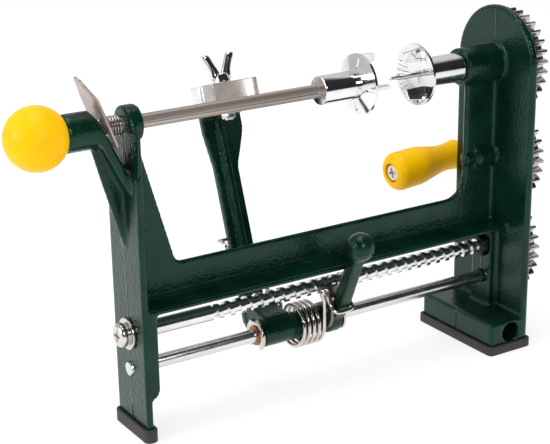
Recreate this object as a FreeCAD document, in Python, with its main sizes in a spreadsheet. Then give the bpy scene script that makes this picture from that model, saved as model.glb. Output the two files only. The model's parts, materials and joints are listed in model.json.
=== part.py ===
import FreeCAD, Part
import math
import os
import re
import Sketcher

Vector = FreeCAD.Vector
doc = FreeCAD.newDocument("apple_peeler")
sheet = doc.addObject("Spreadsheet::Sheet", "Sizes")

# X runs along the machine to the gear column, Y away from the user, Z up, in millimetres.
# The origin lies on the table under the left face of the gear column, in the casting's mid plane.
SIZES = {
    # Gear train: three like gears, one above the other
    "guide_height": 39.3,
    "gear_module": 2.0,
    "gear_teeth": 30,
    "gear_width": 8.0,
    "gear_backlash": 0.2,
    "mesh_gap": 0.1,
    "gear_standoff": 2.5,
    "gear_hub_radius": 8.0,
    "gear_web": 3.5,
    "gear_rim": 3.5,
    # Casting
    "column_thickness": 5.0,
    "column_half_width": 35.0,
    "web_thickness": 3.5,
    "column_web_depth": 23.0,
    "web_corner": 14.0,
    "beam_over_screw": 14.2,
    "beam_depth": 22.0,
    "flange_thickness": 3.4,
    "flange_half_width": 18.5,
    "strip_half_width": 8.8,
    "strip_depth": 5.5,
    "leg_distance": 260.8,
    "leg_half_width": 18.0,
    "leg_slab": 4.2,
    "leg_block": 9.0,
    "leg_block_bottom": 24.5,
    "leg_shoulder": 102.0,
    "foot_length": 25.0,
    "foot_height": 20.5,
    "clamp_hole_radius": 6.25,
    "clamp_hole_depth": 42.0,
    "clamp_hole_height": 12.4,
    "clamp_hole_offset": 8.6,
    "spindle_boss_length": 29.2,
    "spindle_boss_radius": 11.6,
    "crank_boss_length": 15.0,
    "crank_boss_radius": 6.5,
    "horn_radius": 10.5,
    "horn_overhang": 33.2,
    "ear_inset": 1.8,
    "ear_thickness": 8.8,
    "prong_slab": 5.6,
    "notch_depth": 28.0,
    "notch_slope": 0.481,
    "prong_web_drop": 70.0,
    "prong_web_thickness": 4.0,
    "window_foot": 31.0,
    "window_top": 9.6,
    "edge_round": 1.4,
    # Rubber feet
    "pad_floor": 3.5,
    "pad_wall": 2.0,
    "pad_height": 6.0,
    "pad_round": 3.4,
    "pad_gap": 0.05,
    # Rods and shafts
    "guide_drop": 21.5,
    "guide_proud": 1.6,
    "rod_radius": 4.0,
    "running_gap": 0.06,
    "seat_gap": 0.02,
    "side_gap": 0.3,
    "screw_radius": 4.75,
    "thread_depth": 1.45,
    "thread_pitch": 7.55,
    "thread_ridge": 3.0,
    "thread_end": 12.8,
    "thread_turns": 25.5,
    "spindle_radius": 5.0,
    "bush_wall": 2.0,
    "fixing_radius": 2.0,
    "fixing_head": 7.0,
    "fixing_head_height": 4.2,
    "fixing_washer": 9.2,
    "washer_thickness": 1.6,
    # Fruit pusher and fruit spindle
    "knob_radius": 17.5,
    "knob_flat": 10.8,
    "flute_count": 8,
    "flute_radius": 0.6,
    "claw_radius": 18.1,
    "claw_sheet": 1.6,
    "claw_dish": 2.5,
    "pusher_hub_radius": 8.6,
    "pusher_hub_left": 132.3,
    "pusher_hub_length": 25.2,
    "pusher_prongs": 4,
    "spindle_disc_radius": 18.7,
    "spindle_disc_dish": 3.3,
    "spindle_hub_radius": 9.0,
    "spindle_hub_length": 28.2,
    "spindle_blade_top": 96.0,
    "spindle_blade_low": 238.0,
    "prong_length": 12.0,
    "prong_inner": 9.0,
    "prong_outer": 16.2,
    "prong_thickness": 1.8,
    "prong_window": 6.5,
    "pusher_window": 1.8,
    "pin_radius": 1.7,
    "pin_length": 25.0,
    "pin_taper": 5.0,
    # Friction latch
    "latch_thickness": 1.4,
    "latch_half_width": 11.0,
    "latch_below": 10.6,
    "latch_above": 19.5,
    "latch_tab": 13.0,
    "latch_tip": 4.0,
    "latch_slot": 5.4,
    "latch_tilt": 21.3,
    "latch_offset": 9.4,
    "latch_bend": 10.0,
    "latch_spring_radius": 5.3,
    "latch_spring_wire": 0.5,
    "latch_spring_turns": 4,
    # Carriage on the guide rod
    "bush_radius": 6.0,
    "bush_left": 179.4,
    "bush_right": 118.2,
    "clip_radius": 9.5,
    "clip_thickness": 1.6,
    "clip_groove": 0.7,
    "clip_inset": 0.8,
    "clip_tab": 3.6,
    "sleeve_radius": 8.25,
    "sleeve_left": 175.4,
    "sleeve_right": 132.8,
    "arm_centre": 165.7,
    "arm_half_width": 8.0,
    "arm_lean": 19.4,
    "arm_back": 16.5,
    "arm_plate": 4.4,
    "arm_rib": 4.3,
    "arm_rib_height": 2.6,
    "arm_waist": 101.0,
    "arm_shoulder": 122.0,
    "arm_top": 136.0,
    "head_centre": 163.0,
    "head_half_width": 13.5,
    "shelf_thickness": 4.0,
    "link_width": 17.0,
    "lever_hub_radius": 9.75,
    "lever_hub_left": 130.2,
    "lever_hub_length": 8.6,
    "lever_centre": 125.0,
    "lever_half_width": 4.1,
    "lever_half_depth": 3.6,
    "lever_ball": 8.7,
    "lever_reach": 32.0,
    "lever_rise": 54.1,
    "lever_start": 11.7,
    "follower_thickness": 2.2,
    "follower_gap": 0.4,
    "follower_cheek": 9.0,
    "rivet_radius": 2.2,
    "torsion_radius": 12.6,
    "torsion_wire": 1.1,
    "torsion_pitch": 3.5,
    "torsion_right": 137.6,
    "torsion_turns": 4,
    "torsion_hook": 58.0,
    # Blade head
    "bolt_offset": 169.0,
    "bolt_forward": 3.0,
    "bolt_radius": 2.5,
    "clamp_height": 14.0,
    "clamp_left": 190.0,
    "clamp_right": 158.0,
    "clamp_half_depth": 5.5,
    "blade_height": 13.0,
    "blade_sheet": 0.8,
    "blade_start": 176.5,
    "blade_end": 147.5,
    "nut_radius": 4.6,
    "nut_height": 3.2,
    "wing_spread": 10.0,
    "wing_height": 15.0,
    "wing_thickness": 2.2,
    # Crank
    "crank_reach": 62.0,
    "crank_angle": -16.4,
    "crank_plate": 4.0,
    "crank_standoff": 6.4,
    "crank_half_width": 8.5,
    "crank_shaft_radius": 4.0,
    "crank_nut": 7.0,
    "grip_length": 57.5,
    "grip_radius": 12.9,
    "grip_waist": 8.6,
    "grip_root": 10.4,
    "grip_tilt": 4.0,
    "grip_stud_radius": 3.0,
    "grip_screw_head": 5.8,
}
for row, (alias, size) in enumerate(SIZES.items(), start=1):
    sheet.set(f"A{row}", alias)
    sheet.set(f"B{row}", str(size))
    sheet.setAlias(f"B{row}", alias)
doc.recompute()

NAMES = re.compile(r"\b(" + "|".join(SIZES) + r")\b")
ALONG = FreeCAD.Rotation(Vector(0, 1, 0), 90)
ACROSS = FreeCAD.Rotation(Vector(1, 0, 0), 90)
SEAM_UP = FreeCAD.Rotation(Vector(0, 1, 0), -90)
UPRIGHT = FreeCAD.Rotation()

# Heights and places that several pieces share
GUIDE_Z = "guide_height"
SCREW_Z = f"({GUIDE_Z} + guide_drop)"
CRANK_Z = f"({SCREW_Z} + gear_module * gear_teeth + mesh_gap)"
SPINDLE_Z = f"({SCREW_Z} + 2 * gear_module * gear_teeth + 2 * mesh_gap)"
BEAM_Z = f"({SCREW_Z} + beam_over_screw)"
BEAM_TOP = f"({BEAM_Z} + beam_depth)"
NOTCH_Z = f"({SPINDLE_Z} - notch_depth)"
LEG_X = "(-leg_distance)"
LEG_INNER = "(leg_slab - leg_distance)"
EAR_LEFT = "(ear_inset - leg_distance)"
GEAR_LEFT = "(column_thickness + gear_standoff)"
GEAR_RIGHT = "(column_thickness + gear_standoff + gear_width)"
HUB_LEFT = "(column_thickness + side_gap)"
TIP_RADIUS = "(gear_module * (gear_teeth + 2) / 2)"
ROOT_RADIUS = "(gear_module * (gear_teeth - 2.5) / 2)"
BORE = "(rod_radius + running_gap)"
SCREW_BORE = "(screw_radius + running_gap)"


def full(text):
    """Write the sheet's names out in full."""
    return NAMES.sub(r"Sizes.\1", str(text))


def value(text):
    """Work an expression out as a number."""
    found = sheet.evalExpression(full(text))
    return float(getattr(found, "Value", found))


def bind(item, links):
    """Tie an object's properties to expressions."""
    for path, text in links.items():
        item.setExpression(path, full(text))


def new_body(name, place=None, turn=None):
    """Start a named piece, optionally set at a place and turned about X."""
    body = doc.addObject("PartDesign::Body", name)
    body.Label = name
    if turn:
        body.Placement = FreeCAD.Placement(Vector(), FreeCAD.Rotation(Vector(1, 0, 0), 10))
        bind(body, {"Placement.Rotation.Angle": turn})
    if place:
        bind(body, {f"Placement.Base.{axis}": text for axis, text in zip("xyz", place)})
    return body


def primitive(body, kind, name, sizes, place, turn=UPRIGHT):
    """Add a box, cylinder, cone or sphere to a piece, or take one away."""
    item = body.newObject(f"PartDesign::{kind}", name)
    item.Placement = FreeCAD.Placement(Vector(), turn)
    bind(item, sizes)
    bind(item, {f"Placement.Base.{axis}": text for axis, text in zip("xyz", place)})
    return item


def box(body, name, low, high, cut=False):
    """A box between two corners."""
    kind = "SubtractiveBox" if cut else "AdditiveBox"
    sides = zip(("Length", "Width", "Height"), low, high)
    sizes = {side: f"({top}) - ({bottom})" for side, bottom, top in sides}
    return primitive(body, kind, name, sizes, low)


def rod(body, name, left, right, radius, height="0", back="0", cut=False):
    """A cylinder along X."""
    kind = "SubtractiveCylinder" if cut else "AdditiveCylinder"
    sizes = {"Radius": radius, "Height": f"({right}) - ({left})"}
    return primitive(body, kind, name, sizes, (left, back, height), ALONG)


def sketch_on(body, name, plane, shift=("0", "0", "0")):
    """An empty sketch on one of the piece's own planes."""
    sketch = body.newObject("Sketcher::SketchObject", name)
    support = next(item for item in body.Origin.OriginFeatures if item.Role == plane)
    sketch.AttachmentSupport = (support, [""])
    sketch.MapMode = "FlatFace"
    bind(sketch, {f".AttachmentOffset.Base.{axis}": text for axis, text in zip("xyz", shift)})
    return sketch


def place_point(sketch, geometry, position, x, y):
    """Hold one sketch point by its two distances from the origin."""
    for kind, text in (("DistanceX", x), ("DistanceY", y)):
        rule = Sketcher.Constraint(kind, -1, 1, geometry, position, value(text))
        number = sketch.addConstraint(rule)
        sketch.setExpression(f"Constraints[{number}]", full(text))


def corner_arc(before, corner, after, radius):
    """Centre, start and end of the round in a corner."""
    first = (before - corner).normalize()
    second = (after - corner).normalize()
    half = first.getAngle(second) / 2
    middle = (first + second).normalize()
    centre = corner + middle * (radius / math.sin(half))
    reach = radius / math.tan(half)
    return centre, corner + first * reach, corner + second * reach


def draw(sketch, corners):
    """Draw a closed outline; a third entry in a corner is its radius."""
    points = [Vector(value(corner[0]), value(corner[1]), 0) for corner in corners]
    count = len(points)
    starts = list(points)
    ends = list(points)
    arcs = {}
    for index, corner in enumerate(corners):
        if len(corner) > 2:
            before, after = points[index - 1], points[(index + 1) % count]
            arcs[index] = corner_arc(before, points[index], after, value(corner[2]))
            starts[index], ends[index] = arcs[index][1:]
    lines = []
    for index in range(count):
        line = Part.LineSegment(ends[index], starts[(index + 1) % count])
        lines.append(sketch.addGeometry(line))
    for index, corner in enumerate(corners):
        before, after = lines[index - 1], lines[index]
        if index not in arcs:
            sketch.addConstraint(Sketcher.Constraint("Coincident", before, 2, after, 1))
            place_point(sketch, after, 1, corner[0], corner[1])
            continue
        centre, start, end = arcs[index]
        left_turn = (points[index] - start).cross(end - points[index]).z > 0
        first, last = (start, end) if left_turn else (end, start)
        circle = Part.Circle(centre, Vector(0, 0, 1), (start - centre).Length)
        arc = Part.ArcOfCircle(circle, circle.parameter(first), circle.parameter(last))
        curve = sketch.addGeometry(arc)
        pin = sketch.addGeometry(Part.Point(points[index]), True)
        entry, leave = (1, 2) if left_turn else (2, 1)
        sketch.addConstraint(Sketcher.Constraint("Tangent", before, 2, curve, entry))
        sketch.addConstraint(Sketcher.Constraint("Tangent", after, 1, curve, leave))
        sketch.addConstraint(Sketcher.Constraint("PointOnObject", pin, 1, before))
        sketch.addConstraint(Sketcher.Constraint("PointOnObject", pin, 1, after))
        place_point(sketch, pin, 1, corner[0], corner[1])
        number = sketch.addConstraint(Sketcher.Constraint("Radius", curve, value(corner[2])))
        sketch.setExpression(f"Constraints[{number}]", full(corner[2]))
    return sketch


def slab(body, name, plane, corners, length, shift="0", centred=False, cut=False):
    """Push an outline out of its plane, or cut with it."""
    sketch = draw(sketch_on(body, f"{name}_outline", plane, ("0", "0", shift)), corners)
    item = body.newObject("PartDesign::Pocket" if cut else "PartDesign::Pad", name)
    item.Profile = sketch
    item.SideType = "Symmetric" if centred else "One side"
    bind(item, {"Length": length})
    return item


def turned(body, name, corners, height="0", back="0", cut=False):
    """Turn a half outline, given as (x, radius), about a line along X."""
    shift = ("0", height, f"-({back})")
    sketch = draw(sketch_on(body, f"{name}_outline", "XZ_Plane", shift), corners)
    item = body.newObject("PartDesign::Groove" if cut else "PartDesign::Revolution", name)
    item.Profile = sketch
    item.ReferenceAxis = (sketch, ["H_Axis"])
    item.Angle = 360


def around(body, name, feature, guide, axis, count):
    """Repeat a feature evenly about an axis of a sketch or of the piece."""
    pattern = body.newObject("PartDesign::PolarPattern", name)
    pattern.Originals = [feature]
    pattern.Axis = (guide, [axis])
    pattern.Angle = 360
    bind(pattern, {"Occurrences": count})
    body.Tip = pattern


def rounded(body, name, radius, chosen):
    """Round the chosen edges of the piece as it stands."""
    doc.recompute()
    base = body.Tip
    edges = [f"Edge{number}" for number, edge in enumerate(base.Shape.Edges, start=1) if chosen(edge)]
    item = body.newObject("PartDesign::Fillet", name)
    item.Base = (base, edges)
    bind(item, {"Radius": radius})


def lies(edge, axis, level):
    """Whether both ends of an edge lie at one level along an axis."""
    bounds = edge.BoundBox
    low = getattr(bounds, f"{axis}Min")
    high = getattr(bounds, f"{axis}Max")
    return abs(low - level) < 0.01 and abs(high - level) < 0.01


def build_casting():
    """The one-piece frame: gear column, beam, left leg and its horn."""
    body = new_body("frame_casting")
    # Left leg, tapered towards the top on both sides
    profile = (
        (LEG_X, "pad_floor"),
        (LEG_INNER, "pad_floor"),
        (LEG_INNER, "leg_block_bottom"),
        ("leg_block - leg_distance", "leg_block_bottom + 3", "5"),
        ("leg_block - leg_distance", f"{BEAM_Z} + flange_thickness / 2"),
        (LEG_INNER, f"{BEAM_Z} + flange_thickness / 2"),
        (LEG_INNER, SPINDLE_Z),
        (LEG_X, SPINDLE_Z),
    )
    slab(body, "leg", "XZ_Plane", profile, "2 * leg_half_width", centred=True)
    for side, sign in (("front", "-1"), ("back", "1")):
        trim = (
            (f"{sign} * leg_half_width", "leg_shoulder", "30"),
            (f"{sign} * (leg_half_width - 2)", f"{NOTCH_Z} - 12", "30"),
            (f"{sign} * horn_radius", f"{SPINDLE_Z} - 8", "20"),
            (f"{sign} * horn_radius", f"{SPINDLE_Z} + 5"),
            (f"{sign} * (leg_half_width + 5)", f"{SPINDLE_Z} + 5"),
            (f"{sign} * (leg_half_width + 5)", "leg_shoulder - 25"),
            (f"{sign} * leg_half_width", "leg_shoulder - 25"),
        )
        slab(body, f"leg_{side}_taper", "YZ_Plane", trim, "leg_distance", "-1.5 * leg_distance", cut=True)
    # Slanted prong with its web below, horn and ear for the push rod
    top = SPINDLE_Z
    drop = "notch_slope * notch_depth"
    prong = (
        (f"{LEG_X} + 1", NOTCH_Z),
        (f"{LEG_X} + 1 - {drop}", top),
        (f"{LEG_X} + 1 - {drop} - prong_slab", top),
        (f"{LEG_X} + 1 - prong_slab", NOTCH_Z),
        (f"{LEG_X} + 0.5", f"{NOTCH_Z} - 10"),
        (LEG_INNER, f"{NOTCH_Z} - 10"),
        (LEG_INNER, NOTCH_Z),
    )
    slab(body, "prong", "XZ_Plane", prong, "2 * horn_radius", centred=True)
    web = (
        (LEG_INNER, f"{SPINDLE_Z} - prong_web_drop - 8"),
        (LEG_X, f"{SPINDLE_Z} - prong_web_drop", "20"),
        (f"{LEG_X} - 12", f"{NOTCH_Z} - 1"),
        (f"{LEG_X} - 17", f"{SPINDLE_Z} - horn_radius"),
        (f"{LEG_X} - 17", SPINDLE_Z),
        (LEG_INNER, NOTCH_Z),
    )
    slab(body, "prong_web", "XZ_Plane", web, "prong_web_thickness", centred=True)
    rod(body, "horn", f"{LEG_X} - horn_overhang", f"{LEG_X} - 7", "horn_radius", SPINDLE_Z)
    rod(body, "ear", EAR_LEFT, f"{EAR_LEFT} + ear_thickness", "horn_radius - 0.2", SPINDLE_Z)
    notch = (
        (f"{LEG_X} + 1", NOTCH_Z),
        (f"{LEG_X} + 1 - notch_slope * (notch_depth + 20)", f"{SPINDLE_Z} + 20"),
        (EAR_LEFT, f"{SPINDLE_Z} + 20"),
        (EAR_LEFT, NOTCH_Z),
    )
    slab(body, "notch", "XZ_Plane", notch, "4 * horn_radius", centred=True, cut=True)
    # Window edge over the beam, beam web and bottom flange
    window = (
        (LEG_INNER, f"{BEAM_Z} + 5"),
        ("window_foot - leg_distance + 12", f"{BEAM_Z} + 5"),
        ("window_foot - leg_distance + 12", BEAM_TOP),
        ("window_foot - leg_distance", BEAM_TOP, "5"),
        ("window_top - leg_distance", f"{SPINDLE_Z} - horn_radius + 1"),
        (LEG_INNER, f"{SPINDLE_Z} - horn_radius + 1"),
    )
    slab(body, "window_edge", "XZ_Plane", window, "web_thickness", centred=True)
    half = "web_thickness / 2"
    box(body, "beam_web", (LEG_INNER, f"-{half}", BEAM_Z), ("0", half, BEAM_TOP))
    flange_top = f"{BEAM_Z} + flange_thickness"
    wide = "flange_half_width"
    box(body, "beam_flange", (LEG_INNER, f"-{wide}", BEAM_Z), ("0", wide, flange_top))
    # Gear column: plate with a round top, web, foot and bearing strip
    plate = "column_half_width"
    box(body, "column", ("0", f"-{plate}", "pad_floor"), ("column_thickness", plate, SPINDLE_Z))
    rod(body, "column_arch", "0", "column_thickness", plate, SPINDLE_Z)
    box(body, "foot", ("-foot_length", f"-{plate}", "pad_floor"), ("column_thickness", plate, "foot_height"))
    strip = "strip_half_width"
    low = ("-strip_depth", f"-{strip}", "foot_height - 1")
    box(body, "bearing_strip", low, ("0.5", strip, f"{BEAM_Z} + 1"))
    deep = "-column_web_depth"
    column_web = (
        ("1", f"{BEAM_TOP} - 5"),
        (f"{deep} - web_corner - 3", f"{BEAM_TOP} - 5"),
        (f"{deep} - web_corner - 3", BEAM_TOP),
        (deep, BEAM_TOP, "web_corner"),
        (deep, SPINDLE_Z),
        ("1", SPINDLE_Z),
    )
    slab(body, "column_web", "XZ_Plane", column_web, "web_thickness", centred=True)
    rod(body, "spindle_boss", "-spindle_boss_length", "1", "spindle_boss_radius", SPINDLE_Z)
    dome = (
        ("1", "0"),
        ("-crank_boss_length", "0"),
        ("-crank_boss_length", "crank_boss_radius", "3"),
        ("1", "crank_boss_radius"),
    )
    turned(body, "crank_boss", dome, CRANK_Z)
    # Bores
    seat = "(spindle_radius + bush_wall)"
    right = "column_thickness + 1"
    rod(body, "spindle_seat", "-spindle_boss_length - 1", right, seat, SPINDLE_Z, cut=True)
    crank_bore = "crank_shaft_radius + running_gap"
    rod(body, "crank_bore", "3 - crank_boss_length", right, crank_bore, CRANK_Z, cut=True)
    rod(body, "screw_seat", "-strip_depth - 1", right, "screw_radius + bush_wall", SCREW_Z, cut=True)
    guide_seat = "rod_radius + seat_gap"
    rod(body, "guide_seat", "-strip_depth - 1", "column_thickness - 2", guide_seat, GUIDE_Z, cut=True)
    leg_right = f"{LEG_X} + leg_block + 1"
    rod(body, "leg_screw_bore", f"{LEG_X} - 1", leg_right, SCREW_BORE, SCREW_Z, cut=True)
    rod(body, "leg_guide_seat", f"{LEG_X} - 1", leg_right, guide_seat, GUIDE_Z, cut=True)
    horn_left = f"{LEG_X} - horn_overhang - 1"
    rod(body, "push_rod_bore", horn_left, "-0.9 * leg_distance", BORE, SPINDLE_Z, cut=True)
    primitive(
        body,
        "SubtractiveCylinder",
        "clamp_hole",
        {"Radius": "clamp_hole_radius", "Height": "clamp_hole_depth + 1"},
        ("-clamp_hole_offset", "clamp_hole_depth - column_half_width", "clamp_hole_height"),
        ACROSS,
    )
    # Rounds on the plate, the foot and the beam
    reach = value("column_half_width")
    slabs = value("column_thickness")
    rounded(
        body,
        "column_rounds",
        "edge_round",
        lambda edge: (lies(edge, "X", 0) or lies(edge, "X", slabs))
        and edge.BoundBox.ZMax > value("foot_height") + 1
        and max(abs(edge.BoundBox.YMin), abs(edge.BoundBox.YMax)) > reach - 0.01,
    )
    foot_left = -value("foot_length")
    rounded(
        body,
        "foot_rounds",
        "edge_round",
        lambda edge: lies(edge, "X", foot_left)
        and (lies(edge, "Z", value("foot_height")) or lies(edge, "Y", reach) or lies(edge, "Y", -reach)),
    )


def build_pad(name, left, right, half_width, depth):
    """A rubber shoe under one foot of the casting."""
    body = new_body(name)
    wall = "pad_wall"
    outline = (
        (f"{left} - {wall}", f"-{half_width} - {wall}", "pad_round"),
        (f"{right} + {wall}", f"-{half_width} - {wall}", "pad_round"),
        (f"{right} + {wall}", f"{half_width} + {wall}", "pad_round"),
        (f"{left} - {wall}", f"{half_width} + {wall}", "pad_round"),
    )
    slab(body, f"{name}_block", "XY_Plane", outline, depth)
    low = (f"{left} - pad_gap", f"-{half_width} - pad_gap", "pad_floor")
    high = (f"{right} + pad_gap", f"{half_width} + pad_gap", f"{depth} + 1")
    box(body, f"{name}_pocket", low, high, cut=True)


def build_gear(name, height, radius, quarter_turn):
    """A spur gear with a hub towards the column and a hollow outer face."""
    body = new_body(name)
    rim = "(gear_module * (gear_teeth - 2.5) / 2 - gear_rim)"
    web = f"{GEAR_LEFT} + gear_web"
    profile = (
        (HUB_LEFT, radius),
        (HUB_LEFT, "gear_hub_radius"),
        (GEAR_LEFT, "gear_hub_radius"),
        (GEAR_LEFT, TIP_RADIUS),
        (GEAR_RIGHT, TIP_RADIUS),
        (GEAR_RIGHT, rim),
        (web, rim),
        (web, "gear_hub_radius"),
        (GEAR_RIGHT, "gear_hub_radius"),
        (GEAR_RIGHT, radius),
    )
    turned(body, f"{name}_blank", profile, height)
    sketch = sketch_on(body, f"{name}_gap_outline", "YZ_Plane", ("0", height, GEAR_LEFT))
    if quarter_turn:
        sketch.AttachmentOffset = FreeCAD.Placement(Vector(), FreeCAD.Rotation(Vector(0, 0, 1), 5))
        bind(sketch, {
            ".AttachmentOffset.Base.y": height,
            ".AttachmentOffset.Base.z": GEAR_LEFT,
            ".AttachmentOffset.Rotation.Angle": "180 / gear_teeth",
        })
    pitch = "(gear_module * gear_teeth / 2)"
    base = f"({pitch} * cos(20))"

    def half_angle(at):
        """Half the angle of the gap between two involute flanks."""
        lean = f"acos({base} / ({at}))"
        roll = f"(tan({lean}) - tan(20)) * 180 / pi - ({lean} / 1 deg - 20)"
        return f"(90 / gear_teeth + gear_backlash / {pitch} * 90 / pi + {roll})"

    shares = ("0.001", "0.25", "0.5", "0.75", "1")
    flank = [f"({base} + ({TIP_RADIUS} - {base}) * {share})" for share in shares]
    angles = [half_angle(at) for at in flank]
    side = [(ROOT_RADIUS, angles[0])] + list(zip(flank, angles))
    side.append((f"({TIP_RADIUS} + 1)", f"({angles[-1]} + 1)"))
    corners = [(f"{at} * sin({angle})", f"{at} * cos({angle})") for at, angle in side]
    corners += [(f"-{x}", y) for x, y in reversed(corners)]
    draw(sketch, corners)
    gap = body.newObject("PartDesign::Pocket", f"{name}_gap")
    gap.Profile = sketch
    gap.Reversed = True
    bind(gap, {"Length": "gear_width + 1"})
    around(body, f"{name}_teeth", gap, sketch, "N_Axis", "gear_teeth")


def tube(name, left, right, outer, inner, height):
    """A plain sleeve along X."""
    body = new_body(name)
    rod(body, f"{name}_outside", left, right, outer, height)
    rod(body, f"{name}_bore", f"({left}) - 1", f"({right}) + 1", inner, height, cut=True)


def pan_screw(name, seat, head_out, shank, radius, height):
    """A pan head screw along X; head_out is 1 where the head points to +X."""
    body = new_body(name)
    far = f"{seat} + {head_out} * fixing_head_height"
    end = f"{seat} - {head_out} * {shank}"
    profile = (
        (end, "0"),
        (far, "0"),
        (far, radius, "2.4"),
        (seat, radius),
        (seat, "fixing_radius"),
        (end, "fixing_radius"),
    )
    turned(body, f"{name}_turning", profile, height)
    deep = f"{far} - {head_out} * 2.2"
    for number, (wide, tall) in enumerate((("3.4", "0.7"), ("0.7", "3.4"))):
        low, high = (deep, far) if head_out > 0 else (far, deep)
        box(
            body,
            f"{name}_slot_{number}",
            (low, f"-{wide}", f"{height} - {tall}"),
            (high, wide, f"{height} + {tall}"),
            cut=True,
        )


def build_lead_screw():
    """The square-thread screw between the leg and the lowest gear."""
    body = new_body("lead_screw")
    left = f"({LEG_X} - side_gap)"
    start = "(-thread_end - thread_turns * thread_pitch)"
    core = "(screw_radius - thread_depth)"
    profile = (
        (left, "0"),
        (left, "screw_radius"),
        (f"{start} - thread_ridge", "screw_radius"),
        (f"{start} - thread_ridge", core),
        ("0.6 * thread_ridge - thread_end", core),
        ("0.6 * thread_ridge - thread_end", "screw_radius"),
        (GEAR_RIGHT, "screw_radius"),
        (GEAR_RIGHT, "0"),
    )
    turned(body, "lead_screw_core", profile, SCREW_Z)
    ridge = (
        (f"{start} - thread_ridge / 2", f"{core} - 0.4"),
        (f"{start} + thread_ridge / 2", f"{core} - 0.4"),
        (f"{start} + thread_ridge / 2", "screw_radius"),
        (f"{start} - thread_ridge / 2", "screw_radius"),
    )
    sketch = draw(sketch_on(body, "lead_screw_ridge_outline", "XZ_Plane", ("0", SCREW_Z, "0")), ridge)
    thread = body.newObject("PartDesign::AdditiveHelix", "lead_screw_ridge")
    thread.Profile = sketch
    thread.ReferenceAxis = (sketch, ["H_Axis"])
    thread.Mode = "pitch-turns-angle"
    bind(thread, {"Pitch": "thread_pitch", "Turns": "thread_turns"})
    rod(body, "end_screw_hole", left, f"{left} + 14.5", "fixing_radius", SCREW_Z, cut=True)
    rod(body, "gear_screw_hole", f"{GEAR_RIGHT} - 14.5", GEAR_RIGHT, "fixing_radius", SCREW_Z, cut=True)


def claw_prongs(body, name, outline, window, count):
    """Bent prongs around a claw disc, each beside the window it was cut from."""
    centre = ("0", SPINDLE_Z, "0")
    sketch = draw(sketch_on(body, f"{name}_prong_outline", "XZ_Plane", centre), outline)
    prong = body.newObject("PartDesign::Pad", f"{name}_prong")
    prong.Profile = sketch
    prong.SideType = "Symmetric"
    bind(prong, {"Length": "prong_thickness"})
    around(body, f"{name}_prongs", prong, sketch, "H_Axis", count)
    sketch = draw(sketch_on(body, f"{name}_window_outline", "XZ_Plane", centre), window)
    sketch.setExpression(".AttachmentOffset.Base.z", full("prong_thickness / 2"))
    hole = body.newObject("PartDesign::Pocket", f"{name}_window")
    hole.Profile = sketch
    hole.Reversed = True
    bind(hole, {"Length": "pusher_window"})
    around(body, f"{name}_windows", hole, sketch, "H_Axis", count)


def claw_blade(body, name, outline, window, angle):
    """One blade of the spindle claw at its own angle, beside its window."""
    turned_plane = FreeCAD.Rotation(Vector(1, 0, 0), 10)
    plane = next(item for item in body.Origin.OriginFeatures if item.Role == "XY_Plane")
    for kind, corners in (("blade", outline), ("window", window)):
        sketch = body.newObject("Sketcher::SketchObject", f"spindle_{kind}_{name}_outline")
        sketch.AttachmentSupport = (plane, [""])
        sketch.MapMode = "FlatFace"
        sketch.AttachmentOffset = FreeCAD.Placement(Vector(), turned_plane)
        bind(sketch, {
            ".AttachmentOffset.Base.z": SPINDLE_Z,
            ".AttachmentOffset.Rotation.Angle": angle,
        })
        draw(sketch, corners)
        cutting = kind == "window"
        made = "PartDesign::Pocket" if cutting else "PartDesign::Pad"
        item = body.newObject(made, f"spindle_{kind}_{name}")
        item.Profile = sketch
        if cutting:
            item.Reversed = True
            bind(item, {"Length": "prong_window + prong_thickness / 2"})
        else:
            item.SideType = "Symmetric"
            bind(item, {"Length": "prong_thickness"})


def build_spindle():
    """Shaft, claw and centre pin that hold and turn the fruit."""
    right = "(-spindle_boss_length - side_gap)"
    left = f"({right} - spindle_hub_length)"
    seat = "spindle_radius"
    shaft = new_body("spindle_shaft")
    rod(shaft, "spindle_shaft_rod", left, GEAR_RIGHT, seat, SPINDLE_Z)
    rod(shaft, "spindle_pin_hole", left, f"{left} + 6", "pin_radius", SPINDLE_Z, cut=True)
    hole_left = f"{GEAR_RIGHT} - 14.5"
    rod(shaft, "spindle_screw_hole", hole_left, GEAR_RIGHT, "fixing_radius", SPINDLE_Z, cut=True)
    claw = new_body("spindle_claw")
    front = f"({left} - claw_sheet)"
    rim = "spindle_disc_dish"
    profile = (
        (right, seat),
        (right, "spindle_hub_radius", "0.8"),
        (left, "spindle_hub_radius"),
        (f"{left} - {rim}", "spindle_disc_radius"),
        (f"{front} - {rim}", "spindle_disc_radius"),
        (front, "spindle_hub_radius"),
        (front, "pin_radius"),
        (left, "pin_radius"),
        (left, seat),
    )
    turned(claw, "spindle_claw_turning", profile, SPINDLE_Z)
    root = f"({front} - 0.35 * {rim})"
    outline = (
        (f"{front} + 0.6", "prong_inner - 1"),
        (f"{root} - prong_length", "prong_inner - 0.5"),
        (f"{root} - prong_length", "prong_outer - 1.5"),
        (f"{root} - 0.2", "prong_outer"),
    )
    window = (
        (f"{left} + 1", "prong_inner + 1"),
        (f"{front} - {rim} - 1", "prong_inner + 1"),
        (f"{front} - {rim} - 1", "prong_outer - 0.5"),
        (f"{left} + 1", "prong_outer - 0.5"),
    )
    for name, angle in (("top", "spindle_blade_top"), ("low", "spindle_blade_low")):
        claw_blade(claw, name, outline, window, angle)
    pin = new_body("centre_pin")
    tip = f"({left} - pin_length)"
    profile = (
        (f"{left} + 6", "0"),
        (f"{left} + 6", "pin_radius"),
        (f"{tip} + 1.6 * pin_taper", "pin_radius"),
        (f"{tip} + pin_taper", "0.6 * pin_radius"),
        (f"{tip} + 0.4 * pin_taper", "0.6 * pin_radius"),
        (tip, "0"),
    )
    turned(pin, "centre_pin_turning", profile, SPINDLE_Z)


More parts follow.
